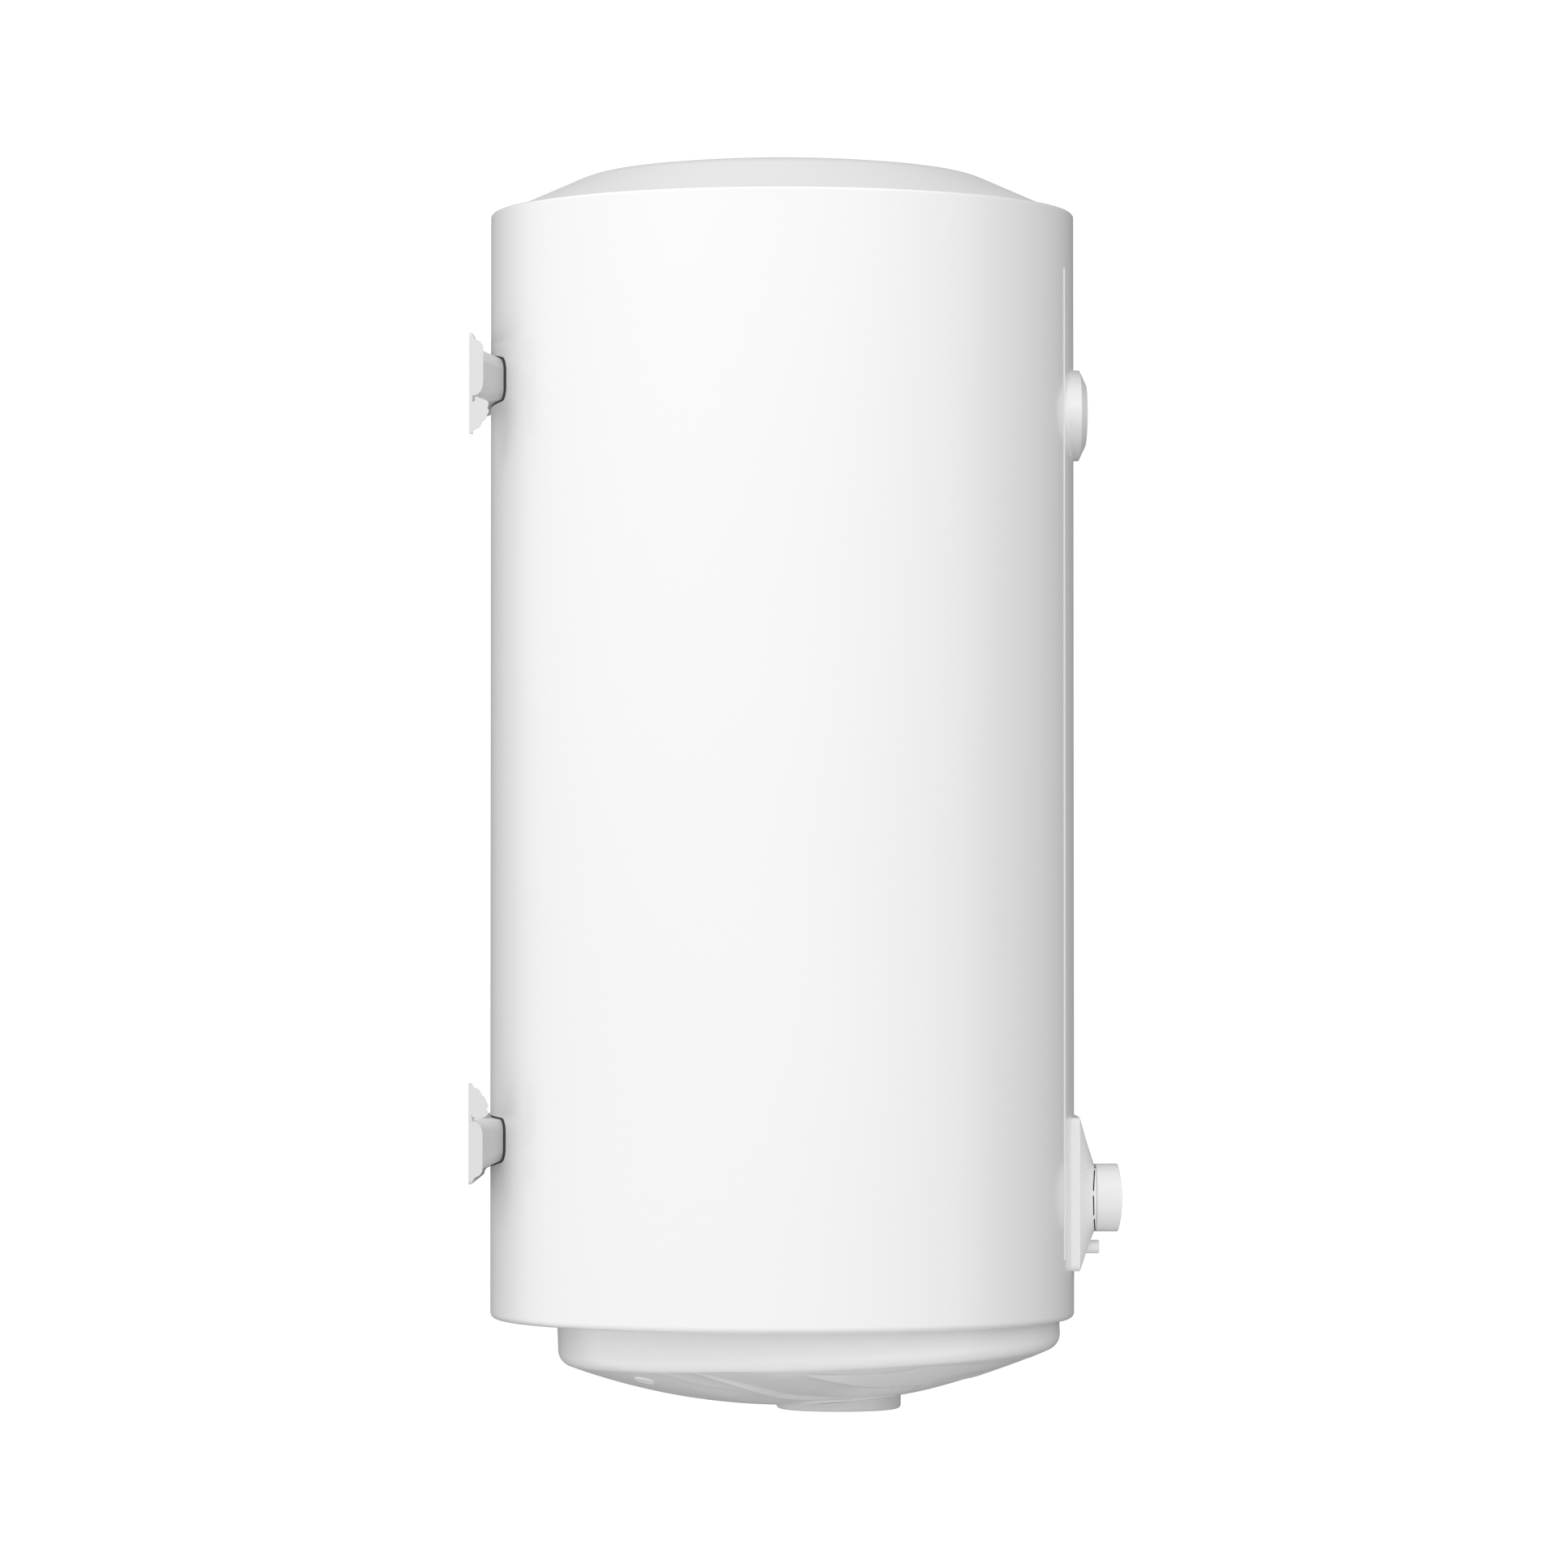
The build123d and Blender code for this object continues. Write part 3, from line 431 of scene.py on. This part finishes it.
# ---- where things are ------------------------------------------------------
@dataclass(frozen=True)
class Datum:
    """The casing's axis and bottom rim, which every shape is measured from."""

    axis_y: float
    base_z: float

    @classmethod
    def from_frame(cls) -> "Datum":
        """Reads the casing's place from the frame."""
        low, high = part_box("outer_casing")
        return cls((low[1] + high[1]) / 2, low[2])

    def place(self, x: float, y: float, z: float) -> Point:
        """A point given in millimetres from the casing's axis and bottom rim, in metres."""
        return x * MM, y * MM + self.axis_y, z * MM + self.base_z


# ---- sub-assemblies --------------------------------------------------------
@dataclass
class CarriedOver:
    """The CAD pieces that are right as they are and only need their finishes."""

    finishes: dict[Finishes, tuple[str, ...]]

    def dress(self) -> list[bpy.types.Object]:
        """Gives each CAD piece its finish.

        Returns:
            The dressed pieces.
        """
        done = []
        for finish, names in self.finishes.items():
            for name in names:
                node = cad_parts[name]
                clad(node, finish)
                done.append(node)
        return done


@dataclass(frozen=True)
class Stroke:
    """One moulded swoosh of the cover: a ridge line level with the skin, hollowed on both sides.

    A point is its place towards the front, its place towards the left, the width of the outer
    slope and the depth, in millimetres.
    """

    points: tuple[tuple[float, float, float, float], ...]
    outer_fade: float
    inner_fade: float = 40.0
    fall: float = 3.5
    least_slope: float = 1.0
    parts: int = 6

    def depth(self, u: np.ndarray, t: np.ndarray) -> np.ndarray:
        """How deep the hollows beside the ridge are.

        Args:
            u: Places towards the front.
            t: Places towards the left.

        Returns:
            The depth below the skin at each place.
        """
        line = np.array(smooth_line(self.points, self.parts))
        nearest = np.full(u.shape, np.inf)
        depth = np.zeros_like(u)
        for a, b in zip(line, line[1:]):
            du, dt = b[0] - a[0], b[1] - a[1]
            along = np.clip(((u - a[0]) * du + (t - a[1]) * dt) / (du ** 2 + dt ** 2), 0.0, 1.0)
            off_u, off_t = u - a[0] - along * du, t - a[1] - along * dt
            distance = np.hypot(off_u, off_t)
            outside = du * off_t - dt * off_u > 0.0
            width, bottom = a[2] + along * (b[2] - a[2]), a[3] + along * (b[3] - a[3])
            run = np.where(outside, np.maximum(width, self.least_slope), self.fall)
            fade = np.where(outside, self.outer_fade, self.inner_fade)
            back = np.clip((distance - run) / fade, 0.0, 1.0)
            share = np.clip(distance / run, 0.0, 1.0) * (1.0 - back * back * (3.0 - 2.0 * back))
            depth = np.where(distance < nearest, bottom * share, depth)
            nearest = np.minimum(nearest, distance)
        return depth


def smooth_line(points: Sequence[Sequence[float]], parts: int) -> list[list[float]]:
    """A Catmull-Rom line through points of any dimension.

    Args:
        points: The points.
        parts: Pieces between neighbouring points.

    Returns:
        The points of the smooth line.
    """
    padded = [points[0], *points, points[-1]]
    line = []
    for p0, p1, p2, p3 in zip(padded, padded[1:], padded[2:], padded[3:]):
        for i in range(parts):
            f = i / parts
            line.append([0.5 * (2 * b + (c - a) * f + (2 * a - 5 * b + 4 * c - d) * f * f
                                + (3 * b - a - 3 * c + d) * f ** 3)
                         for a, b, c, d in zip(p0, p1, p2, p3)])
    line.append(list(points[-1]))
    return line


SWIRL = (
    Stroke(((-92, 168, 3, 0.0), (-76, 155, 6, 0.9), (-63, 144, 8, 1.5), (-50, 131, 10, 1.9),
            (-37, 116, 11, 2.1), (-24, 99, 12, 2.1), (2, 86, 12, 1.7), (26, 78, 10, 0.7),
            (40, 74, 8, 0.0)), 45.0),
    Stroke(((-124, 148, 8, 0.0), (-102, 142, 10, 0.3), (-84, 131, 10, 0.35),
            (-65, 124, 9, 0.2), (-50, 116, 8, 0.0)), 30.0, fall=6.0),
    Stroke(((-8, 180, 1, 0.0), (9, 162, 12, 1.4), (27, 143, 27, 3.0), (44, 126, 42, 4.3),
            (61, 112, 50, 4.8), (96, 84, 45, 3.6), (128, 42, 34, 1.1), (142, 8, 26, 0.0)), 6.0),
    Stroke(((88, 84, 6, 0.0), (96, 78, 8, 0.5), (127, 46, 9, 0.7), (148, 38, 7, 0.4),
            (164, 30, 5, 0.0)), 20.0, fall=3.0),
)


@dataclass
class ServiceCover:
    """Bowl-shaped bottom cover with its moulded swirl of petals, in millimetres."""

    datum: Datum
    radius: float = 193.4
    depth: float = 66.0
    crown_r: float = 493.0
    knee_r: float = 12.0
    thickness: float = 2.5
    centre_y: float = -20.0
    tilt: float = -2.01
    top_z: float = 24.0
    top_gap: float = 0.05
    wall_parts: tuple[float, ...] = (0.08, 0.5, 0.94, 1.0)
    spokes: int = 450
    rings: int = 130
    inner_rings: int = 36
    knee_rings: int = 14
    crease: float = 40.0
    strokes: tuple[Stroke, ...] = SWIRL
    repeats: int = 2
    plain_edge: float = 2.0
    edge_fade: float = 6.0

    def relief(self, r: np.ndarray, angle: np.ndarray) -> np.ndarray:
        """How far the swirl is hollowed into the bowl.

        Args:
            r: Distances from the bowl's axis.
            angle: Angles in radians from the left side towards the front.

        Returns:
            The depths below the skin, in millimetres, a row for each distance.
        """
        depth = np.zeros((len(r), len(angle)))
        for k in range(self.repeats):
            turned = angle - k * math.tau / self.repeats
            u, t = np.outer(r, np.sin(turned)), np.outer(r, np.cos(turned))
            for stroke in self.strokes:
                depth = depth + stroke.depth(u, t)
        edge = np.clip((self.radius - self.plain_edge - r) / self.edge_fade, 0.0, 1.0)
        return depth * edge[:, None]

    def section(self, inset: float, rings: int) -> np.ndarray:
        """The bowl's half section: its crown from the middle, then the knee up to the wall.

        Args:
            inset: Distance inside the outer skin.
            rings: Points from the middle to the knee.

        Returns:
            Rows of radius, height, and the outward direction's radius and height.
        """
        crown = self.crown_r - inset
        centre_z = self.crown_r - self.depth
        knee = self.knee_r - inset
        knee_x = self.radius - inset - knee
        reach = crown - knee
        knee_z = centre_z - math.sqrt(reach ** 2 - knee_x ** 2)
        knee_angle = math.asin(knee_x / reach)
        a = np.linspace(0.0, knee_angle, rings)
        bowl = np.stack([crown * np.sin(a), centre_z - crown * np.cos(a),
                         np.sin(a), -np.cos(a)], 1)
        a = np.linspace(knee_angle, math.pi / 2, self.knee_rings)[1:]
        bend = np.stack([knee_x + knee * np.sin(a), knee_z - knee * np.cos(a),
                         np.sin(a), -np.cos(a)], 1)
        return np.concatenate([bowl, bend])

    def skin(self, mesh: bmesh.types.BMesh, inset: float,
             rings: int) -> list[list[bmesh.types.BMVert]]:
        """Adds the points of one skin.

        Args:
            mesh: The mesh under construction.
            inset: Distance inside the outer skin.
            rings: Points from the middle to the knee.

        Returns:
            The rows of points, from the innermost ring to the top of the wall.
        """
        tilt = math.radians(self.tilt)
        rows = []
        section = self.section(inset, rings)
        angle = np.linspace(0.0, math.tau, self.spokes, endpoint=False)
        depths = self.relief(section[:, 0], angle)
        for (r, z, out_r, out_z), row in zip(section, depths):
            rows.append([self.vert(mesh, r - out_r * depth, z - out_z * depth, turn)
                         for depth, turn in zip(row, angle)])
        wall_r, wall_z = section[-1][0], section[-1][1]
        for part in self.wall_parts:
            row = []
            for turn in angle:
                back = wall_r * math.sin(turn) * math.sin(tilt)
                top = (self.top_z - self.top_gap + back) / math.cos(tilt)
                row.append(self.vert(mesh, wall_r, wall_z + (top - wall_z) * part, turn))
            rows.append(row)
        grid_faces(mesh, rows[1:], True)
        mesh.faces.new(rows[1])
        bmesh.ops.delete(mesh, geom=rows[0], context="VERTS")
        return rows[1:]

    def build(self) -> bpy.types.Object:
        """Builds the bowl.

        Returns:
            The cover.
        """
        mesh = bmesh.new()
        outer = self.skin(mesh, 0.0, self.rings)
        inner = self.skin(mesh, self.thickness, self.inner_rings)
        grid_faces(mesh, [outer[-1], inner[-1]], True)
        piece = add_piece("service_cover", mesh, Finishes.COVER, "heater_body", "lid_white",
                          "bottom_cover")
        sharpen(piece, self.crease)
        return piece

    def vert(self, mesh: bmesh.types.BMesh, r: float, z: float,
             angle: float) -> bmesh.types.BMVert:
        """One point of the bowl, tilted and put in its place."""
        tilt = math.radians(self.tilt)
        x, y = -r * math.cos(angle), -r * math.sin(angle)
        y, z = y * math.cos(tilt) - z * math.sin(tilt), y * math.sin(tilt) + z * math.cos(tilt)
        return mesh.verts.new(self.datum.place(x, y + self.centre_y, z))


@dataclass
class CableMembrane:
    """Blank round membrane of the mains cable entry, flush in the cover, in millimetres."""

    cover: ServiceCover
    centre_x: float = -109.0
    centre_y: float = 105.0
    radius: float = 7.9
    proud: float = 0.9
    segments: int = 48
    crease: float = 50.0
    profile: tuple[tuple[float, float], ...] = (
        (1.0, -1.0), (1.0, 0.2), (0.96, 0.75), (0.9, 1.0), (0.8, 1.0), (0.74, 0.55), (0.5, 0.5),
        (0.25, 0.5))

    def build(self) -> bpy.types.Object:
        """Builds the membrane as a shallow button over the cover's skin.

        Returns:
            The membrane.
        """
        mesh = bmesh.new()
        rows = []
        for share, lift in self.profile:
            row = []
            for i in range(self.segments):
                turn = math.tau * i / self.segments
                x = self.centre_x + share * self.radius * math.cos(turn)
                y = self.centre_y + share * self.radius * math.sin(turn)
                row.append(self.on_cover(mesh, x, y - self.cover.centre_y, lift * self.proud))
            rows.append(row)
        grid_faces(mesh, rows, True)
        mesh.faces.new(rows[-1])
        mesh.faces.new(rows[0])
        piece = add_piece("cable_membrane", mesh, Finishes.MEMBRANE, "heater_body", "trim_white",
                          "cable_grommet")
        sharpen(piece, self.crease)
        return piece

    def on_cover(self, mesh: bmesh.types.BMesh, x: float, y: float,
                 lift: float) -> bmesh.types.BMVert:
        """One point at a height above the cover's skin."""
        r = math.hypot(x, y)
        a = math.asin(r / self.cover.crown_r)
        radius = (self.cover.crown_r + lift) * math.sin(a)
        z = self.cover.crown_r - self.cover.depth - (self.cover.crown_r + lift) * math.cos(a)
        return self.cover.vert(mesh, radius, z, math.atan2(-y, -x))


@dataclass
class Gauge:
    """Oval thermometer on the casing's front, in millimetres."""

    datum: Datum
    casing_r: float = 225.0
    centre_z: float = 695.9
    segments: int = 128
    flare: float = 4.1
    flare_at: float = 60.0
    skirt_sink: float = 0.4
    skirt: tuple[tuple[float, float, float], ...] = (
        (62.0, 35.3, -0.06), (61.9, 35.25, 0.0), (61.0, 35.1, 0.3), (60.4, 35.0, 0.65),
        (60.1, 34.95, 1.0))
    bevels: tuple[tuple[float, float, float], ...] = (
        (59.6, 34.85, -228.7), (59.35, 34.65, -229.2), (58.8, 34.1, -229.55), (58.0, 33.4, -229.8),
        (48.8, 24.6, -233.9), (48.3, 24.2, -234.15), (47.8, 23.8, -234.15), (47.5, 23.5, -233.9),
        (47.4, 23.4, -231.5))
    window_a: float = 47.35
    window_b: float = 23.35
    window_y: float = -234.0
    window_thick: float = 1.0
    window_rings: int = 12
    dome: float = 1.2
    inner_dome: float = 0.2
    pivot_drop: float = 13.0
    scale_y: float = -227.12
    print_thick: float = 0.1
    swing: float = 55.0
    line_r: float = 27.0
    line_width: float = 0.6
    line_parts: int = 44
    tick_step: float = 5.0
    tick_half: float = 0.45
    long_tick_r: float = 31.5
    short_tick_r: float = 29.8
    zone_radii: tuple[float, float] = (24.0, 25.6)
    zone_starts: tuple[float, ...] = (-55.0, -33.0)
    zone_span: float = 20.0
    zone_parts: int = 12
    crease: float = 50.0
    print_crease: float = 30.0

    def oval(self, mesh: bmesh.types.BMesh, a: float, b: float,
             depth: Callable[[float], float]) -> list[bmesh.types.BMVert]:
        """One oval row of points.

        Args:
            mesh: The mesh under construction.
            a: Half length.
            b: Half height.
            depth: The y of a point from its x.

        Returns:
            The points.
        """
        row = []
        for i in range(self.segments):
            turn = math.tau * i / self.segments
            x = a * math.cos(turn)
            z = self.centre_z + b * math.sin(turn)
            row.append(mesh.verts.new(self.datum.place(x, depth(x), z)))
        return row

    def casing_y(self, x: float) -> float:
        """Where the casing's skin is."""
        return -math.sqrt(self.casing_r ** 2 - x * x)

    def foot_y(self, x: float) -> float:
        """Where the oval wall meets its flared skirt."""
        return -self.casing_r + self.flare * (x / self.flare_at) ** 2

    def skirt_y(self, x: float, share: float) -> float:
        """A skirt point's y, a share of the way from the casing's skin to the foot."""
        skin = self.casing_y(x)
        sink = self.skirt_sink if share < 0 else 0.0
        return skin + share * (self.foot_y(x) - skin) + sink

    def build_bezel(self) -> bpy.types.Object:
        """Builds the bezel: flared skirt, oval wall and bevel.

        Returns:
            The bezel.
        """
        mesh = bmesh.new()
        rows = [self.oval(mesh, a, b, lambda x, f=share: self.skirt_y(x, f))
                for a, b, share in self.skirt]
        rows += [self.oval(mesh, a, b, lambda x, flat=y: flat) for a, b, y in self.bevels]
        grid_faces(mesh, rows, True)
        piece = add_piece("gauge_surround", mesh, Finishes.TRIM, "heater_body", "trim_white",
                          "gauge_bezel")
        sharpen(piece, self.crease)
        return piece

    def build_window(self) -> bpy.types.Object:
        """Builds the window, domed in front and nearly flat behind.

        Returns:
            The window.
        """
        mesh = bmesh.new()
        back_y = self.window_y + self.window_thick
        edges = []
        for edge_y, dome in ((self.window_y, self.dome), (back_y, self.inner_dome)):
            rows = []
            for ring in range(self.window_rings, 0, -1):
                share = ring / self.window_rings
                y = edge_y - dome * (1 - share ** 2)
                rows.append(self.oval(mesh, self.window_a * share, self.window_b * share,
                                      lambda x, flat=y: flat))
            grid_faces(mesh, rows, True)
            mesh.faces.new(rows[-1])
            edges.append(rows[0])
        grid_faces(mesh, edges, True)
        piece = add_piece("gauge_glass", mesh, Finishes.WINDOW, "heater_body", "window_clear",
                          "gauge_window")
        sharpen(piece, self.crease)
        return piece

    def sector(self, mesh: bmesh.types.BMesh, radii: tuple[float, float],
               angles: tuple[float, float], parts: int) -> None:
        """Adds one flat sector of the scale, with a little thickness.

        Args:
            mesh: The mesh under construction.
            radii: Its inner and outer distance from the needle's pivot.
            angles: Its first and last angle from upright, in degrees.
            parts: Pieces along it.
        """
        back = self.scale_y + self.print_thick
        inner, outer = radii
        first, last = angles
        rows = []
        for r, y in ((inner, back), (inner, self.scale_y), (outer, self.scale_y), (outer, back)):
            row = []
            for i in range(parts + 1):
                a = math.radians(first + (last - first) * i / parts)
                z = self.centre_z - self.pivot_drop + r * math.cos(a)
                row.append(mesh.verts.new(self.datum.place(r * math.sin(a), y, z)))
            rows.append(row)
        grid_faces(mesh, [*rows, rows[0]], False)
        for end in (0, -1):
            mesh.faces.new([row[end] for row in rows])

    def build_scale(self) -> bpy.types.Object:
        """Builds the printed scale: an arc, its ticks and two zones, standing just off the dial.

        Returns:
            The scale.
        """
        mesh = bmesh.new()
        tick_r = self.line_r + self.line_width
        self.sector(mesh, (self.line_r, tick_r), (-self.swing, self.swing), self.line_parts)
        for i in range(round(2 * self.swing / self.tick_step) + 1):
            a = self.tick_step * i - self.swing
            end = self.short_tick_r if i % 2 else self.long_tick_r
            self.sector(mesh, (tick_r, end), (a - self.tick_half, a + self.tick_half), 1)
        for start in self.zone_starts:
            self.sector(mesh, self.zone_radii, (start, start + self.zone_span), self.zone_parts)
        piece = add_piece("gauge_scale", mesh, Finishes.BLACK, "heater_body", "body_black")
        sharpen(piece, self.print_crease)
        return piece


@dataclass
class CasingSeam:
    """Folded lengthwise seam of the casing sheet, on its right rear side, in millimetres."""

    datum: Datum
    casing_r: float = 225.0
    half_width: float = 3.2
    proud: float = 0.7
    bottom: float = 7.0
    top: float = 846.0
    end: float = 1.0
    end_lift: float = 0.1
    bearing: float = 52.0
    crease: float = 40.0
    profile: tuple[tuple[float, float], ...] = (
        (-1.0, -0.3), (-1.0, 0.0), (-0.9, 0.7), (-0.7, 1.0), (0.55, 1.0), (0.7, 0.75),
        (0.75, 0.2), (1.0, 0.12), (1.0, -0.3))

    def build(self) -> bpy.types.Object:
        """Builds the seam as a low rounded strip that follows the sheet.

        Returns:
            The seam.
        """
        mesh = bmesh.new()
        rows = []
        for z, lift in ((self.bottom, self.end_lift), (self.bottom + self.end, 1.0),
                        (self.top - self.end, 1.0), (self.top, self.end_lift)):
            row = []
            for side, rise in self.profile:
                r = self.casing_r + self.proud * (rise * lift if rise > 0 else rise)
                a = math.radians(self.bearing) + side * self.half_width / self.casing_r
                row.append(mesh.verts.new(self.datum.place(r * math.cos(a), r * math.sin(a), z)))
            rows.append(row)
        grid_faces(mesh, rows, True)
        mesh.faces.new(rows[0])
        mesh.faces.new(rows[-1])
        piece = add_piece("casing_seam", mesh, Finishes.CASING, "heater_body", "casing_white")
        sharpen(piece, self.crease)
        return piece


# ---- studio ----------------------------------------------------------------
@dataclass(frozen=True)
class Lamp:
    """One soft area light, placed from the casing's axis and bottom rim, in metres."""

    name: str
    place: Point
    width: float
    tall: float
    power: float


@dataclass
class Studio:
    """Camera, soft lights and the pale floor, in metres and degrees."""

    datum: Datum
    distance: float = 5.291
    eye_height: float = 0.3013
    aim_height: float = 0.10995
    aim_front: float = 0.0014
    lens: float = 157.3
    sensor: float = 36.0
    far_clip: float = 60.0
    floor_drop: float = 1.1
    floor_half: float = 0.95
    backdrop: float = 1.05
    facing: float = 20.0
    dim: float = 0.20
    bright: float = 1.27
    dim_to_bright: tuple[float, float] = (-0.40, -0.05)
    lower: float = 0.30
    upper: float = 1.0
    lower_to_upper: tuple[float, float] = (-0.95, -0.45)
    overhead: float = 0.22
    overhead_range: tuple[float, float] = (0.55, 0.95)
    lamps: tuple[Lamp, ...] = (Lamp("key", (-1.5, 1.3, 1.8), 0.9, 0.9, 6.0),
                               Lamp("fill", (-1.8, -1.0, 1.8), 1.2, 0.9, 4.0))
    lamp_target: float = 0.55

    def camera(self) -> None:
        """Sets the camera on the heater's left, low down and looking slightly up."""
        data = bpy.data.cameras.new("camera")
        data.lens = self.lens
        data.sensor_width = self.sensor
        data.clip_end = self.far_clip
        camera = bpy.data.objects.new("camera", data)
        eye = Vector((-self.distance, self.datum.axis_y, self.datum.base_z + self.eye_height))
        aim = Vector((0.0, self.datum.axis_y - self.aim_front, eye.z + self.aim_height))
        camera.location = eye
        camera.rotation_euler = (aim - eye).to_track_quat("-Z", "Y").to_euler()
        bpy.context.scene.collection.objects.link(camera)
        bpy.context.scene.camera = camera

    def area_light(self, lamp: Lamp) -> None:
        """Adds one soft light aimed at the middle of the heater."""
        data = bpy.data.lights.new(lamp.name, "AREA")
        data.energy = lamp.power
        data.shape = "RECTANGLE"
        data.size = lamp.width
        data.size_y = lamp.tall
        light = bpy.data.objects.new(lamp.name, data)
        x, y, z = lamp.place
        light.location = Vector((x, self.datum.axis_y + y, self.datum.base_z + z))
        target = Vector((0.0, self.datum.axis_y, self.datum.base_z + self.lamp_target))
        light.visible_camera = False
        light.rotation_euler = (target - light.location).to_track_quat("-Z", "Y").to_euler()
        bpy.context.scene.collection.objects.link(light)

    @staticmethod
    def blend(tree: Tree, place: Value, span: tuple[float, float], low: float,
              high: float) -> Value:
        """A smooth change between two strengths.

        Args:
            tree: The world's tree.
            place: What the change goes by.
            span: Where on place it starts and ends.
            low: The strength up to its start.
            high: The strength from its end on.

        Returns:
            The strength.
        """
        return tree.node("ShaderNodeMapRange", {"interpolation_type": "SMOOTHSTEP"},
                         {0: place, 1: span[0], 2: span[1], 3: low, 4: high})

    def surroundings(self) -> None:
        """Sets a white backdrop, and soft light that is bright on one side and weak from below."""
        world = bpy.data.worlds.new("studio")
        bpy.context.scene.world = world
        tree = Tree(world)
        tree.nodes.clear()
        facing = math.radians(self.facing)
        towards = (-math.cos(facing), math.sin(facing), 0.0)
        where = tree.node("ShaderNodeTexCoord", {}, {}, "Generated")
        lit = tree.node("ShaderNodeVectorMath", {"operation": "DOT_PRODUCT"},
                        {0: where, 1: towards}, "Value")
        across = self.blend(tree, lit, self.dim_to_bright, self.dim, self.bright)
        height = tree.node("ShaderNodeSeparateXYZ", {}, {0: where}, "Z")
        rise = self.blend(tree, height, self.lower_to_upper, self.lower, self.upper)
        top = self.blend(tree, height, self.overhead_range, 0.0, self.overhead)
        light = tree.node("ShaderNodeBackground", {}, {"Strength": across * rise + top})
        seen = tree.node("ShaderNodeBackground", {},
                         {"Color": (1.0, 1.0, 1.0, 1.0), "Strength": self.backdrop})
        camera_ray = tree.node("ShaderNodeLightPath", {}, {}, "Is Camera Ray")
        both = tree.node("ShaderNodeMixShader", {}, {0: camera_ray, 1: light, 2: seen})
        tree.node("ShaderNodeOutputWorld", {}, {"Surface": both}, None)

    def floor(self) -> None:
        """Lays a plain pale floor well below the heater."""
        mesh = bmesh.new()
        z = self.datum.base_z - self.floor_drop
        y = self.datum.axis_y
        half = self.floor_half
        corners = [(-half, y - half, z), (half, y - half, z),
                   (half, y + half, z), (-half, y + half, z)]
        mesh.faces.new([mesh.verts.new(corner) for corner in corners])
        data = bpy.data.meshes.new("floor")
        mesh.to_mesh(data)
        mesh.free()
        piece = bpy.data.objects.new("floor", data)
        bpy.context.scene.collection.objects.link(piece)
        paint = Enamel("pale_floor", (0.66, 0.66, 0.66), 0.7, peel_per_m=60.0)
        data.materials.append(paint.material())

    def build(self) -> None:
        """Sets everything up."""
        self.camera()
        self.surroundings()
        self.floor()
        for lamp in self.lamps:
            self.area_light(lamp)
        bpy.context.scene.view_settings.view_transform = "Standard"


def report(pieces: Iterable[bpy.types.Object]) -> None:
    """Logs each finished piece."""
    for piece in pieces:
        log.info("%s: %d faces", piece.name, len(piece.data.polygons))


def main() -> None:
    """Builds the heater, piece by piece, then the studio."""
    logging.basicConfig(level=logging.INFO, format="%(name)s %(message)s")
    datum = Datum.from_frame()
    report(CarriedOver(CAD_FINISHES).dress())
    cover = ServiceCover(datum)
    report([cover.build(), CableMembrane(cover).build()])
    gauge = Gauge(datum)
    report([gauge.build_bezel(), gauge.build_window(), gauge.build_scale()])
    report([CasingSeam(datum).build()])
    Studio(datum).build()


if __name__ == "__main__":
    main()
